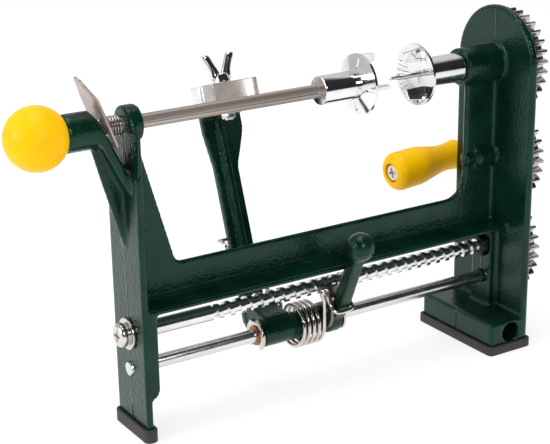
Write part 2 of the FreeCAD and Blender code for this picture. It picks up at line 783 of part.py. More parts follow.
def build_pusher():
    """Push rod with its ball, and the claw that turns on the rod's end."""
    horn = "(-leg_distance - horn_overhang - side_gap)"
    hub_left = "(-pusher_hub_left)"
    front = "(pusher_hub_length - pusher_hub_left)"
    neck = f"({hub_left} + 4.5)"
    inner_end = f"({front} - 7)"
    small = "(0.75 * rod_radius)"
    push = new_body("push_rod", ("0", "0", SPINDLE_Z))
    profile = (
        (f"{horn} - 6", "0"),
        (f"{horn} - 6", "rod_radius"),
        (neck, "rod_radius"),
        (neck, small),
        (f"{inner_end} - side_gap / 2", small),
        (f"{inner_end} - side_gap / 2", "0"),
    )
    turned(push, "push_rod_turning", profile)
    flute = rod(push, "flute", f"{horn} + 2", f"{hub_left} - 3", "flute_radius", "rod_radius + 0.1", cut=True)
    axis = next(item for item in push.Origin.OriginFeatures if item.Role == "X_Axis")
    around(push, "flutes", flute, axis, "", "flute_count")
    deep = f"{inner_end} - 9"
    rod(push, "pusher_screw_hole", deep, f"{inner_end}", "0.6 * fixing_radius", cut=True)
    knob = new_body("ball_knob")
    flat = "sqrt(knob_radius * knob_radius - knob_flat * knob_flat)"
    centre = (f"{horn} - {flat}", "0", SPINDLE_Z)
    primitive(knob, "AdditiveSphere", "ball", {"Radius": "knob_radius"}, centre, ALONG)
    reach = "knob_radius"
    low = (horn, f"-{reach}", f"{SPINDLE_Z} - {reach}")
    high = (f"{horn} + {reach}", reach, f"{SPINDLE_Z} + {reach}")
    box(knob, "ball_flat", low, high, cut=True)
    rod(knob, "ball_bore", f"{horn} - 6", f"{horn} + 1", "rod_radius", SPINDLE_Z, cut=True)
    screw = new_body("pusher_screw")
    profile = (
        (f"{inner_end} + side_gap", "5.2"),
        (f"{inner_end} + 3.2", "5.2", "1.2"),
        (f"{inner_end} + 3.2", "0"),
        (deep, "0"),
        (deep, "0.6 * fixing_radius"),
        (f"{inner_end} + side_gap", "0.6 * fixing_radius"),
    )
    turned(screw, "pusher_screw_turning", profile, SPINDLE_Z)
    for number, (wide, tall) in enumerate((("3", "0.6"), ("0.6", "3"))):
        low = (f"{inner_end} + 1.4", f"-{wide}", f"{SPINDLE_Z} - {tall}")
        high = (f"{inner_end} + 4", wide, f"{SPINDLE_Z} + {tall}")
        box(screw, f"pusher_screw_slot_{number}", low, high, cut=True)
    claw = new_body("pusher_claw")
    bore = f"({small} + running_gap)"
    profile = (
        (hub_left, BORE),
        (hub_left, "pusher_hub_radius", "0.8"),
        (front, "pusher_hub_radius"),
        (f"{front} + claw_dish", "claw_radius"),
        (f"{front} + claw_dish + claw_sheet", "claw_radius"),
        (f"{front} + claw_sheet", "pusher_hub_radius"),
        (f"{front} + claw_sheet", "5.8"),
        (inner_end, "5.8"),
        (inner_end, bore),
        (f"{neck} + side_gap", bore),
        (f"{neck} + side_gap", BORE),
    )
    turned(claw, "pusher_claw_turning", profile, SPINDLE_Z)
    root = f"({front} + claw_sheet + 0.6 * claw_dish)"
    outline = (
        (f"{front} + 0.5 * claw_dish", "prong_inner + 2"),
        (f"{root} + prong_length - 1", "prong_inner + 3.5"),
        (f"{root} + prong_length - 1", "prong_outer + 1"),
        (f"{root} - 0.5", "prong_outer + 1.5"),
    )
    window = (
        (f"{front} - 1", "prong_inner + 1"),
        (f"{front} + claw_dish + claw_sheet + 1", "prong_inner + 1"),
        (f"{front} + claw_dish + claw_sheet + 1", "prong_outer - 0.5"),
        (f"{front} - 1", "prong_outer - 0.5"),
    )
    claw_prongs(claw, "pusher", outline, window, "pusher_prongs")


def build_latch():
    """The tilted plate that grips the push rod."""
    body = doc.addObject("PartDesign::Body", "latch_plate")
    body.Label = "latch_plate"
    body.Placement = FreeCAD.Placement(Vector(), FreeCAD.Rotation(Vector(0, 1, 0), 10))
    bind(body, {
        "Placement.Rotation.Angle": "-latch_tilt",
        "Placement.Base.x": f"{LEG_X} - latch_offset",
        "Placement.Base.z": SPINDLE_Z,
    })
    half = "latch_half_width"
    outline = (
        (f"-{half}", "-latch_below", "2"),
        (half, "-latch_below", "2"),
        (half, "latch_above"),
        (f"-{half}", "latch_above"),
    )
    slab(body, "latch_face", "YZ_Plane", outline, "latch_thickness", centred=True)
    slot = "(rod_radius + 0.5)"
    opening = (
        (f"-{slot}", "-latch_slot", f"{slot} - 0.1"),
        (slot, "-latch_slot", f"{slot} - 0.1"),
        (slot, "latch_slot", f"{slot} - 0.1"),
        (f"-{slot}", "latch_slot", f"{slot} - 0.1"),
    )
    slab(body, "latch_opening", "YZ_Plane", opening, "2 * latch_thickness", centred=True, cut=True)
    lean = "latch_tab * sin(latch_bend)"
    rise = "latch_tab * cos(latch_bend)"
    thick = "latch_thickness"
    side = (
        (f"{thick} / 2", "latch_above - 1"),
        (f"{thick} / 2", "latch_above"),
        (f"{thick} / 2 - {lean}", f"latch_above + {rise}"),
        (f"-{thick} / 2 - {lean}", f"latch_above + {rise}"),
        (f"-{thick} / 2", "latch_above"),
        (f"-{thick} / 2", "latch_above - 1"),
    )
    slab(body, "latch_tab", "XZ_Plane", side, f"2 * {half}", centred=True)
    for name, sign in (("front", "-1"), ("back", "1")):
        trim = (
            (f"{sign} * ({half} + 2)", "latch_above - 0.5"),
            (f"{sign} * {half}", "latch_above - 0.5"),
            (f"{sign} * (latch_tip + 0.6)", f"latch_above + {rise} - 4", "8"),
            (f"{sign} * (latch_tip - 0.9)", f"latch_above + {rise} - 1.2", "2"),
            (f"{sign} * (latch_tip - 3.2)", f"latch_above + {rise} + 0.3"),
            (f"{sign} * ({half} + 2)", f"latch_above + {rise} + 1"),
        )
        slab(body, f"latch_{name}_trim", "YZ_Plane", trim, "4 * latch_tab", centred=True, cut=True)


def build_carriage():
    """The bush on the guide rod and the clips at its ends."""
    body = new_body("carriage_bush")
    left, right = "(-bush_left)", "(-bush_right)"
    groove = "(bush_radius - clip_groove)"
    clips = ((f"({left} + clip_inset)", "-1"), (f"({right} - clip_inset - clip_thickness)", "1"))
    profile = (
        (left, BORE),
        (left, "bush_radius", "0.5"),
        ("-sleeve_left - 1.3", "bush_radius"),
        ("-sleeve_left - 1.3", "bush_radius + 0.9"),
        ("-sleeve_left - side_gap", "bush_radius + 0.9"),
        ("-sleeve_left - side_gap", "bush_radius"),
        (right, "bush_radius", "0.5"),
        (right, BORE),
    )
    turned(body, "bush_turning", profile, GUIDE_Z)
    for number, (start, side) in enumerate(clips):
        ring = (
            (start, groove),
            (f"{start} + clip_thickness", groove),
            (f"{start} + clip_thickness", "bush_radius + 1"),
            (start, "bush_radius + 1"),
        )
        turned(body, f"clip_groove_{number}", ring, GUIDE_Z, cut=True)
    doc.recompute()
    clip = doc.addObject("Part::Compound", "bush_clips")
    clip.Label = "bush_clips"
    clip.Links = [build_clip(number, start, side, groove) for number, (start, side) in enumerate(clips)]


def build_clip(number, start, side, groove):
    """A spring clip with a bent tab, open at the bottom."""
    body = new_body(f"clip_{number}")
    name = f"clip_{number}"
    rod(body, f"{name}_ring", start, f"{start} + clip_thickness", "clip_radius", GUIDE_Z)
    near = f"{start}" if side == "1" else f"{start} - clip_tab + clip_thickness"
    far = f"{start} + clip_tab" if side == "1" else f"{start} + clip_thickness"
    top = f"{GUIDE_Z} + clip_radius"
    box(body, f"{name}_tab", (near, "-3", f"{top} - 1.4"), (far, "3", f"{top} + 0.2"))
    rod(body, f"{name}_hole", f"{start} - 1", f"{start} + clip_thickness + 1", groove, GUIDE_Z, cut=True)
    low = (f"{start} - 1", f"-{groove} + 0.6", f"{GUIDE_Z} - clip_radius - 1")
    high = (f"{start} + clip_thickness + 1", f"{groove} - 0.6", GUIDE_Z)
    box(body, f"{name}_mouth", low, high, cut=True)
    return body


def build_arm():
    """The swinging arm that carries the blade head."""
    body = new_body("peeler_arm", ("0", "0", GUIDE_Z), "-arm_lean")
    rod(body, "arm_sleeve", "-sleeve_left", "-sleeve_right", "sleeve_radius")
    back = "(arm_back + arm_plate)"
    link = (
        ("-5", "4"),
        ("-6.5", "8.8", "2"),
        ("1", "12", "3"),
        ("arm_back", "21"),
        (back, "21"),
        (back, "4", "3"),
        ("arm_back - 4", "-3", "4"),
        ("0", "-7"),
    )
    slab(body, "arm_link", "YZ_Plane", link, "link_width", "2.4 - sleeve_left")
    foot_left = "(-arm_centre - arm_half_width)"
    foot_right = "(arm_half_width - arm_centre)"
    head_left = "(-head_centre - head_half_width)"
    head_right = "(head_half_width - head_centre)"
    face = (
        (foot_left, "6"),
        (foot_right, "6"),
        (foot_right, "arm_waist", "14"),
        (head_right, "arm_shoulder", "25"),
        (head_right, "arm_top"),
        (head_left, "arm_top"),
        (head_left, "arm_shoulder", "25"),
        (foot_left, "arm_waist", "14"),
    )
    slab(body, "arm_plate", "XZ_Plane", face, "arm_plate", f"-{back}")
    low = ("-arm_centre - arm_rib / 2", "arm_back - arm_rib_height", "8")
    high = ("arm_rib / 2 - arm_centre", "arm_back + 1", "arm_top - 1")
    box(body, "arm_rib", low, high)
    tongue = "(bolt_radius + 3.8)"
    front = f"(-bolt_forward - {tongue})"
    shelf = (
        (head_left, back),
        (head_left, "arm_back - 3"),
        (f"-bolt_offset - {tongue}", "4", "5"),
        (f"-bolt_offset - {tongue}", front, f"{tongue} - 0.2"),
        (f"{tongue} - bolt_offset", front, f"{tongue} - 0.2"),
        (f"{tongue} - bolt_offset", "4", "5"),
        (head_right, "arm_back - 3"),
        (head_right, back),
    )
    slab(body, "arm_shelf", "XY_Plane", shelf, "shelf_thickness", "arm_top - shelf_thickness")
    rod(body, "arm_bore", "-sleeve_left - 1", "1 - sleeve_right", "bush_radius + running_gap", cut=True)
    primitive(
        body,
        "SubtractiveCylinder",
        "arm_bolt_hole",
        {"Radius": "bolt_radius + running_gap", "Height": "shelf_thickness + 2"},
        ("-bolt_offset", "-bolt_forward", "arm_top - shelf_thickness - 1"),
    )


def build_head():
    """Clamp block, ring blade, nut and wing bolt on the arm."""
    frame = (("0", "0", GUIDE_Z), "-arm_lean")
    axis = ("-bolt_offset", "-bolt_forward")
    top = "(arm_top + clamp_height)"
    half = "clamp_half_depth"
    wide = f"({half} + blade_sheet)"
    middle = "(-bolt_forward)"
    block = new_body("blade_clamp", *frame)
    step = "(-blade_start - 0.4)"
    outline = (
        ("-clamp_left", f"{middle} - {wide}", "5"),
        (step, f"{middle} - {wide}"),
        (step, f"{middle} - {half}"),
        ("-clamp_right", f"{middle} - {half}"),
        ("-clamp_right", f"{middle} + {half}"),
        (step, f"{middle} + {half}"),
        (step, f"{middle} + {wide}"),
        ("-clamp_left", f"{middle} + {wide}", "5"),
    )
    slab(block, "clamp_block", "XY_Plane", outline, "clamp_height", "arm_top")
    hole = {"Radius": "bolt_radius + running_gap", "Height": "clamp_height + 2"}
    primitive(block, "SubtractiveCylinder", "clamp_bolt_hole", hole, (*axis, "arm_top - 1"))
    blade = new_body("ring_blade", *frame)
    outside = (
        ("-blade_start", f"{middle} - {wide}"),
        ("-blade_end", f"{middle} - {wide}", "5.4"),
        ("-blade_end", f"{middle} + {wide}", "5.4"),
        ("-blade_start", f"{middle} + {wide}"),
    )
    base = f"({top} - blade_height)"
    slab(blade, "blade_band", "XY_Plane", outside, "blade_height", base)
    inside = (
        ("-blade_start - 1", f"{middle} - {half}"),
        ("-blade_end - blade_sheet", f"{middle} - {half}", "4.6"),
        ("-blade_end - blade_sheet", f"{middle} + {half}", "4.6"),
        ("-blade_start - 1", f"{middle} + {half}"),
    )
    slab(blade, "blade_room", "XY_Plane", inside, "2 * blade_height", f"{base} - 1", cut=True).Reversed = True
    under = "(arm_top - shelf_thickness)"
    nut = new_body("clamp_nut", *frame)
    prism = {"Circumradius": "nut_radius", "Height": "nut_height"}
    item = primitive(nut, "AdditivePrism", "nut_prism", prism, (*axis, f"{under} - nut_height"))
    item.Polygon = 6
    hole = {"Radius": "bolt_radius + running_gap", "Height": "nut_height + 2"}
    primitive(nut, "SubtractiveCylinder", "nut_hole", hole, (*axis, f"{under} - nut_height - 1"))
    wing = new_body("wing_bolt", *frame)
    shank = {"Radius": "bolt_radius", "Height": f"{top} - {under} + nut_height + 1.2"}
    primitive(wing, "AdditiveCylinder", "bolt_shank", shank, (*axis, f"{under} - nut_height - 1"))
    hub = {"Radius1": "5.6", "Radius2": "4.2", "Height": "5.5"}
    primitive(wing, "AdditiveCone", "bolt_hub", hub, (*axis, f"{top} + 0.1"))
    centre = "-bolt_offset"
    for name, sign in (("left", "-1"), ("right", "1")):
        ear = (
            (f"{centre} + {sign} * 2", f"{top} + 0.6"),
            (f"{centre} + {sign} * (0.55 * wing_spread)", f"{top} + 0.6"),
            (f"{centre} + {sign} * (1.15 * wing_spread)", f"{top} + 0.9 * wing_height", "1.6"),
            (f"{centre} + {sign} * (0.75 * wing_spread)", f"{top} + 1.02 * wing_height", "1.6"),
            (f"{centre} + {sign} * (0.25 * wing_spread)", f"{top} + 5.2"),
            (f"{centre} + {sign} * 1", f"{top} + 5.2"),
        )
        slab(wing, f"wing_{name}", "XZ_Plane", ear, "wing_thickness", "bolt_forward - wing_thickness / 2")


def build_lever():
    """The hand lever that lifts the thread follower off the screw."""
    body = new_body("release_lever", ("0", "0", GUIDE_Z))
    left = "(-lever_hub_left)"
    right = f"({left} + lever_hub_length)"
    rod(body, "lever_hub", left, right, "lever_hub_radius")
    run = "(lever_reach - lever_start)"
    rise = "(lever_rise - lever_start)"
    long = f"sqrt({run} * {run} + {rise} * {rise})"
    out_y = f"(lever_half_depth * {rise} / {long})"
    out_z = f"(lever_half_depth * {run} / {long})"
    stem = (
        ("-lever_hub_radius + 1", "0"),
        (f"-lever_start - {out_y} - 1", f"lever_start - {out_z} - 1", "4"),
        (f"-lever_reach - {out_y}", f"lever_rise - {out_z}"),
        (f"{out_y} - lever_reach", f"lever_rise + {out_z}"),
        (f"{out_y} - lever_start", f"lever_start + {out_z}", "4"),
        ("0", "lever_hub_radius - 1"),
    )
    slab(body, "lever_stem", "YZ_Plane", stem, "2 * lever_half_width", "-lever_centre - lever_half_width")
    centre = ("-lever_centre", "-lever_reach", "lever_rise")
    primitive(body, "AdditiveSphere", "lever_ball", {"Radius": "lever_ball"}, centre, SEAM_UP)
    rod(body, "lever_bore", f"{left} - 1", f"{right} + 1", "bush_radius + running_gap", cut=True)
    # Follower plate and its flap in front of the screw thread
    plate = new_body("thread_follower", ("0", "0", GUIDE_Z))
    front = "(screw_radius + follower_gap)"
    face = (
        ("-9", "-4", "5"),
        ("9", "-4", "4"),
        ("9", "6", "5"),
        ("1", "lever_hub_radius + 0.6", "4"),
        (f"-{front}", "lever_hub_radius + 3"),
        (f"-{front}", "guide_drop + 1"),
        (f"-{front} - follower_thickness", "guide_drop + 1"),
        (f"-{front} - follower_thickness - 5", "lever_hub_radius + 3", "3"),
        ("-follower_cheek - 3.4", "3", "4"),
    )
    face_left = f"({left} - follower_thickness)"
    slab(plate, "follower_face", "YZ_Plane", face, "follower_thickness", face_left)
    low = (face_left, f"-{front} - follower_thickness", "guide_drop - 7")
    high = (f"{face_left} + 8.5", f"-{front}", "guide_drop + 1")
    box(plate, "follower_flap", low, high)
    rod(plate, "follower_bore", f"{face_left} - 1", f"{left} + 1", "bush_radius + running_gap", cut=True)
    pin = (f"{face_left} - 1.2", f"{left} + 4")
    spot = {"height": "8.6", "back": "-7.4"}
    hole = "rivet_radius - 0.8"
    rod(plate, "follower_rivet_hole", face_left, left, hole, cut=True, **spot)
    rod(body, "lever_rivet_hole", f"{left} - 1", pin[1], hole, cut=True, **spot)
    rivet = new_body("follower_rivet", ("0", "0", GUIDE_Z))
    rod(rivet, "rivet_head", pin[0], face_left, "rivet_radius", **spot)
    rod(rivet, "rivet_shank", pin[0], pin[1], hole, **spot)


def build_crank():
    """Shaft, arm, nut and grip of the hand crank."""
    arm_left = f"({GEAR_RIGHT} + crank_standoff)"
    arm_right = f"({arm_left} + crank_plate)"
    left = "(3 + side_gap - crank_boss_length)"
    nut_right = f"({arm_right} + 5)"
    bolt = "crank_shaft_radius"
    shaft = new_body("crank_shaft")
    rod(shaft, "crank_shaft_rod", left, f"{nut_right} + 1.5", bolt, CRANK_Z)
    tube("crank_spacer", GEAR_RIGHT, arm_left, f"{bolt} + 2.5", bolt, CRANK_Z)
    nut = new_body("crank_nut")
    item = primitive(
        nut,
        "AdditivePrism",
        "crank_nut_prism",
        {"Circumradius": "crank_nut", "Height": f"{nut_right} - {arm_right}"},
        (arm_right, "0", CRANK_Z),
        ALONG,
    )
    item.Polygon = 6
    rod(nut, "crank_nut_hole", f"{arm_right} - 1", f"{nut_right} + 1", bolt, CRANK_Z, cut=True)
    arm = new_body("crank_arm", ("0", "0", CRANK_Z), "crank_angle")
    half = "crank_half_width"
    bar = (
        (f"-{half}", f"-{half}", f"{half} - 0.2"),
        (f"crank_reach + {half}", f"-{half}", f"{half} - 0.2"),
        (f"crank_reach + {half}", half, f"{half} - 0.2"),
        (f"-{half}", half, f"{half} - 0.2"),
    )
    slab(arm, "crank_bar", "YZ_Plane", bar, "crank_plate", arm_left)
    rod(arm, "crank_hub_hole", f"{arm_left} - 1", f"{arm_right} + 1", bolt, cut=True)
    tilted = primitive(
        arm,
        "SubtractiveCylinder",
        "crank_stud_hole",
        {"Radius": "grip_stud_radius", "Height": "4 * crank_plate"},
        (f"{arm_left} - 1.5 * crank_plate", "crank_reach", "-1.5 * crank_plate * tan(grip_tilt)"),
        ALONG,
    )
    bind(tilted, {"Placement.Rotation.Angle": "90 - grip_tilt"})
    # The grip and its stud stand in a frame of their own at the end of the arm
    place = (
        f"placement(vector(0; 0; {CRANK_Z}); rotation(vector(1; 0; 0); crank_angle))"
        f" * placement(vector({arm_left}; crank_reach; 0); rotation(vector(0; 1; 0); -grip_tilt))"
    )
    stud = new_body("grip_stud")
    bind(stud, {"Placement": place})
    end = "(-grip_length)"
    head = f"({end} + 4)"
    profile = (
        ("crank_plate + 1.2", "0"),
        (f"{head} - 3", "0"),
        (f"{head} - 3", "grip_screw_head", "1.2"),
        (head, "grip_screw_head"),
        (head, "grip_stud_radius"),
        ("crank_plate + 1.2", "grip_stud_radius"),
    )
    turned(stud, "stud_turning", profile)
    for number, (wide, tall) in enumerate((("3.2", "0.7"), ("0.7", "3.2"))):
        low = (f"{head} - 4", f"-{wide}", f"-{tall}")
        box(stud, f"stud_slot_{number}", low, (f"{head} - 1", wide, tall), cut=True)
    grip = new_body("crank_grip")
    bind(grip, {"Placement": place})
    bore = "(grip_stud_radius + running_gap)"
    profile = (
        ("-side_gap * 2", bore),
        ("-side_gap * 2", "grip_root", "2"),
        ("-0.25 * grip_length", "grip_waist", "30"),
        ("-0.62 * grip_length", "grip_radius", "30"),
        (end, "grip_radius", "6"),
        (end, "grip_screw_head + 0.8"),
        (f"{head} + side_gap", "grip_screw_head + 0.8"),
        (f"{head} + side_gap", bore),
    )
    turned(grip, "grip_turning", profile)


def biarc(start, start_way, end, end_way):
    """Two arcs that leave one point and reach another along given directions."""
    gap = end - start
    both = start_way + end_way
    spread = 2 * (1 - start_way.dot(end_way))
    along = gap.dot(both)
    if spread < 1e-9:
        return [Part.makeLine(start, end)]
    reach = (math.sqrt(along * along + spread * gap.dot(gap)) - along) / spread
    middle = (start + end + (start_way - end_way) * reach) / 2
    edges = []
    for point, way, other, sign in ((start, start_way, middle, 1), (end, end_way, middle, -1)):
        chord = other - point
        towards = way * sign
        bow = towards - chord * (towards.dot(chord) / chord.dot(chord))
        if bow.Length < 1e-6:
            edges.append(Part.makeLine(point, other) if sign > 0 else Part.makeLine(other, point))
            continue
        half_angle = towards.getAngle(chord)
        height = chord.Length / 2 * math.tan(half_angle / 2)
        top = (point + other) / 2 + bow.normalize() * height
        ends = (point, other) if sign > 0 else (other, point)
        edges.append(Part.Arc(ends[0], top, ends[1]).toShape())
    return edges


def wound_wire(name, stations, radius):
    """One unbroken tube through stations of (point, direction)."""
    edges = []
    for (start, start_way), (end, end_way) in zip(stations, stations[1:]):
        edges += biarc(start, start_way, end, end_way)
    path = Part.Wire(edges)
    first, way = stations[0]
    ring = Part.Wire(Part.makeCircle(radius, first, way))
    shell = Part.BRepOffsetAPI.MakePipeShell(path)
    shell.add(ring)
    shell.build()
    shell.makeSolid()
    print(name, "least gap to itself:", round(least_gap(path, radius), 3))
    item = doc.addObject("Part::Feature", name)
    item.Label = name
    item.Shape = shell.shape()
    return item


def least_gap(path, radius):
    """Smallest distance between two parts of a wound tube that are not neighbours."""
    step = radius / 2
    points = path.discretize(Distance=step)
    skip = int(math.pi * 2.5 * radius / step) + 1
    least = 1e9
    for index, point in enumerate(points):
        for other in points[index + skip:]:
            least = min(least, (point - other).Length)
    return least - 2 * radius


def coil(centre_height, radius, left_to_right, turns, start_angle, sense):
    """Quarter-turn stations of a helix about a line along X."""
    first, last = left_to_right
    count = round(turns * 4)
    rise = (last - first) / (turns * 2 * math.pi)
    stations = []
    for quarter in range(count + 1):
        angle = start_angle + sense * quarter * math.pi / 2
        x = first + (last - first) * quarter / count
        point = Vector(x, radius * math.cos(angle), centre_height + radius * math.sin(angle))
        way = Vector(rise, -sense * radius * math.sin(angle), sense * radius * math.cos(angle))
        stations.append((point, way.normalize()))
    return stations


def build_torsion_spring():
    """Coil around the arm's sleeve; one leg hooks the arm, the other the lever."""
    height = value(GUIDE_Z)
    radius = value("torsion_radius")
    right = -value("torsion_right")
    turns = value("torsion_turns") + 0.5
    left = right - turns * value("torsion_pitch")
    coils = coil(height, radius, (left, right), turns, 0, -1)
    lean = math.radians(value("arm_lean"))
    behind = value("arm_back") + value("arm_plate") + value("torsion_wire") + 0.6

    def on_arm(x, back, up):
        """A point given in the leaning frame of the arm."""
        y = back * math.cos(lean) + up * math.sin(lean)
        return Vector(x, y, height + up * math.cos(lean) - back * math.sin(lean))

    edge = -value("arm_centre") - value("arm_half_width")
    up = value("torsion_hook")
    inward = Vector(1, 0, 0)
    rearward = Vector(0, math.cos(lean), -math.sin(lean))
    hook = on_arm(edge - 5.5, behind - 11, up)
    bend = on_arm(edge - 5.5, behind - 3, up)
    turn = on_arm(edge - 2.5, behind, up)
    tip = on_arm(edge + 5, behind, up)
    start = coils[0][0] + Vector(0.2, 0.8, 12)
    rise = (hook + Vector(0.6, -1.5, -5) - start).normalize()
    leg = [
        (tip, -inward),
        (turn, -inward),
        (bend, -rearward),
        (hook + Vector(0.6, -1.5, -5), -rise),
        (start, -rise),
    ]
    wire = value("torsion_wire")
    stem = -value("lever_centre")
    reach = -value("lever_half_width")
    base_y = -value("lever_start")
    base_z = height + value("lever_start")
    down = Vector(0, 0, -1)
    peak = Vector(stem - 11.2, -radius + 1.4, base_z + 12)
    drop = Vector(stem - 9.6, -radius - 0.2, base_z + 5)
    under = Vector(stem - 5, base_y - 6.6, base_z - 2.4)
    side = Vector(stem - reach + 0.2, base_y - 5.8, base_z - 2)
    end = Vector(stem - reach + 2.2, base_y - 1, base_z + 0.6)
    last = coils[-1][0] + Vector(0.3, 0.2, 13)
    leg_right = [
        (last, Vector(0, 0, 1)),
        (peak, Vector(1, 0, 0)),
        (drop, Vector(0.2, -0.25, -1).normalize()),
        (under, Vector(1, -0.1, 0).normalize()),
        (side, Vector(1, 0.35, 0.1).normalize()),
        (end, Vector(0.1, 1, 0.4).normalize()),
    ]
    return wound_wire("torsion_spring", leg + coils + leg_right, wire)


def build_latch_spring():
    """Small spring on the push rod between the latch plate and the ear."""
    height = value(SPINDLE_Z)
    wire = value("latch_spring_wire")
    radius = value("latch_spring_radius")
    tilt = math.radians(value("latch_tilt"))
    stop = value(EAR_LEFT) - value("seat_gap")
    normal = Vector(math.cos(tilt), 0, math.sin(tilt))
    away = value("latch_thickness") / 2 + value("seat_gap")
    foot = Vector(value(f"{LEG_X} - latch_offset"), radius, height) + normal * away
    knee = foot + normal * 2.1 * wire
    begin = 1.8 * wire / radius
    ends = (knee.x + 1.9 * wire, stop - 3.9 * wire)
    coils = coil(height, radius, ends, value("latch_spring_turns"), begin, 1)
    angle = begin + 1.8 * wire / radius
    seat = Vector(stop, radius * math.cos(angle), height + radius * math.sin(angle))
    out = Vector(1, 0, 0)
    stations = [(foot, normal), (knee, normal)] + coils + [(seat - out * 2.1 * wire, out), (seat, out)]
    return wound_wire("latch_spring", stations, wire)


os.makedirs("parts", exist_ok=True)

# Casting, feet and gears
build_casting()
foot = ("leg_half_width", "pad_height + 2")
build_pad("foot_pad_left", LEG_X, LEG_INNER, *foot)
build_pad("foot_pad_right", "-foot_length", "column_thickness", "column_half_width", "pad_height")
build_gear("spindle_gear", SPINDLE_Z, "spindle_radius", True)
build_gear("drive_gear", CRANK_Z, "crank_shaft_radius", False)
build_gear("lead_screw_gear", SCREW_Z, "screw_radius", True)

# Bushes, guide rod and lead screw
right = "column_thickness"
wall = "spindle_radius + bush_wall"
bore = "spindle_radius + running_gap"
tube("spindle_bush", "-spindle_boss_length", right, wall, bore, SPINDLE_Z)
wall = "screw_radius + bush_wall"
tube("screw_bush", "-strip_depth - 4.4", right, wall, SCREW_BORE, SCREW_Z)
guide_rod = new_body("guide_rod")
rod(guide_rod, "guide_rod_length", f"{LEG_X} - guide_proud", f"{right} - 2", "rod_radius", GUIDE_Z)
build_lead_screw()

# Washers and screws that hold the screw and the gears
seat = f"({LEG_X} - side_gap)"
middle = f"({seat} - washer_thickness)"
far = f"({middle} - washer_thickness)"
tube("end_washer", middle, seat, "fixing_washer", "fixing_radius", SCREW_Z)
tube("end_spring_washer", far, middle, "fixing_head - 0.7", "fixing_radius", SCREW_Z)
pan_screw("end_screw", far, -1, "14", "fixing_head", SCREW_Z)
outer = f"({GEAR_RIGHT} + washer_thickness)"
for name, height in (("lead_gear", SCREW_Z), ("spindle_gear", SPINDLE_Z)):
    tube(f"{name}_washer", GEAR_RIGHT, outer, "fixing_washer - 1.7", "fixing_radius", height)
    pan_screw(f"{name}_screw", outer, 1, "14", "fixing_head - 1.8", height)

# Moving groups and springs
build_spindle()
build_pusher()
build_latch()
build_carriage()
build_arm()
build_head()
build_lever()
build_crank()
build_torsion_spring()
build_latch_spring()

doc.recompute()
inside = [clip.Name for clip in doc.getObject("bush_clips").Links]
nodes = [
    item
    for item in doc.Objects
    if item.TypeId in ("PartDesign::Body", "Part::Feature", "Part::Compound") and item.Name not in inside
]
for item in doc.Objects:
    if {"Invalid", "Error"} & set(item.State):
        raise RuntimeError(f"{item.Name} could not be built")
for item in nodes:
    if item.Shape.isNull() or not item.Shape.isValid():
        raise RuntimeError(f"{item.Label} is not a valid solid")
for item in nodes:
    item.Shape.exportStep(f"parts/{item.Label}.step")
print(len(nodes), "pieces written")
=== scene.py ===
import json
import math

import bmesh
import bpy
from mathutils import Matrix, Vector


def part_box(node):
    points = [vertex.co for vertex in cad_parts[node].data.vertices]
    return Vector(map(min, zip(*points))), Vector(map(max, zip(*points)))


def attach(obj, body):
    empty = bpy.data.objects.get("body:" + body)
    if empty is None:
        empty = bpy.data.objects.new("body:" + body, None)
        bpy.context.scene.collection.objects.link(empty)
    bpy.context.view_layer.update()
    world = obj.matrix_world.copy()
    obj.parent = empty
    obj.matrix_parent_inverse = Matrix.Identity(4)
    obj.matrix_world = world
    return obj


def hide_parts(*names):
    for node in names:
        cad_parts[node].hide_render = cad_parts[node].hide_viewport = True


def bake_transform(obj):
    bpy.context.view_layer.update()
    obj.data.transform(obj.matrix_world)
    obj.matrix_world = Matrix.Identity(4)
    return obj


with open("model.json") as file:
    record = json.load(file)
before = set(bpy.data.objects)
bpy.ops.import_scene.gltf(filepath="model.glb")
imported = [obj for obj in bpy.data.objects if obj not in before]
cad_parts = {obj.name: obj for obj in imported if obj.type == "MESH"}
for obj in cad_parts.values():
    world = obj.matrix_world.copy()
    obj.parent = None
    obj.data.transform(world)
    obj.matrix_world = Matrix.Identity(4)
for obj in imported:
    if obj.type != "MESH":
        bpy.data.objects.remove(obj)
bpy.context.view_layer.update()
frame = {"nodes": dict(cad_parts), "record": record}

bpy.context.scene.view_settings.view_transform = "Standard"
bpy.ops.object.select_all(action="DESELECT")
print("frame loaded with", len(frame["nodes"]), "nodes")

cameraSettings = {
    "place": (-0.58965, -0.67493, 0.38182),
    # degrees: about Z, above the table, about the line of sight
    "turn": -32.28,
    "rise": 18.98,
    "roll": -0.87,
    # millimetres
    "lens": 94.94,
    "sensor": 36.0,
    # metres
    "reach": 60,
}


def turnMatrix(axis, degrees, size=3):
    return Matrix.Rotation(math.radians(degrees), size, axis)


def addCamera(settings):
    bpy.ops.object.camera_add(location=settings["place"])
    camera = bpy.context.object
    camera.name = "photoCamera"
    turn = turnMatrix("Z", settings["turn"])
    tip = turnMatrix("X", 90 - settings["rise"])
    roll = turnMatrix("Z", settings["roll"])
    camera.rotation_euler = (turn @ tip @ roll).to_euler()
    camera.data.lens = settings["lens"]
    camera.data.sensor_width = settings["sensor"]
    camera.data.clip_end = settings["reach"]
    bpy.context.scene.camera = camera


lampSettings = {
    "aim": (-0.14, 0.0, 0.1),
    # place and size in metres, power in watts
    "lamps": {
        "overhead": {"place": (-0.25, 0.1, 1.5), "size": (1.1, 0.8), "power": 9},
        "leftSide": {"place": (-1.45, 0.15, 0.6), "size": (0.9, 0.6), "power": 8},
        "front": {"place": (-0.35, -1.4, 0.95), "size": (0.3, 0.3), "power": 6},
    },
}


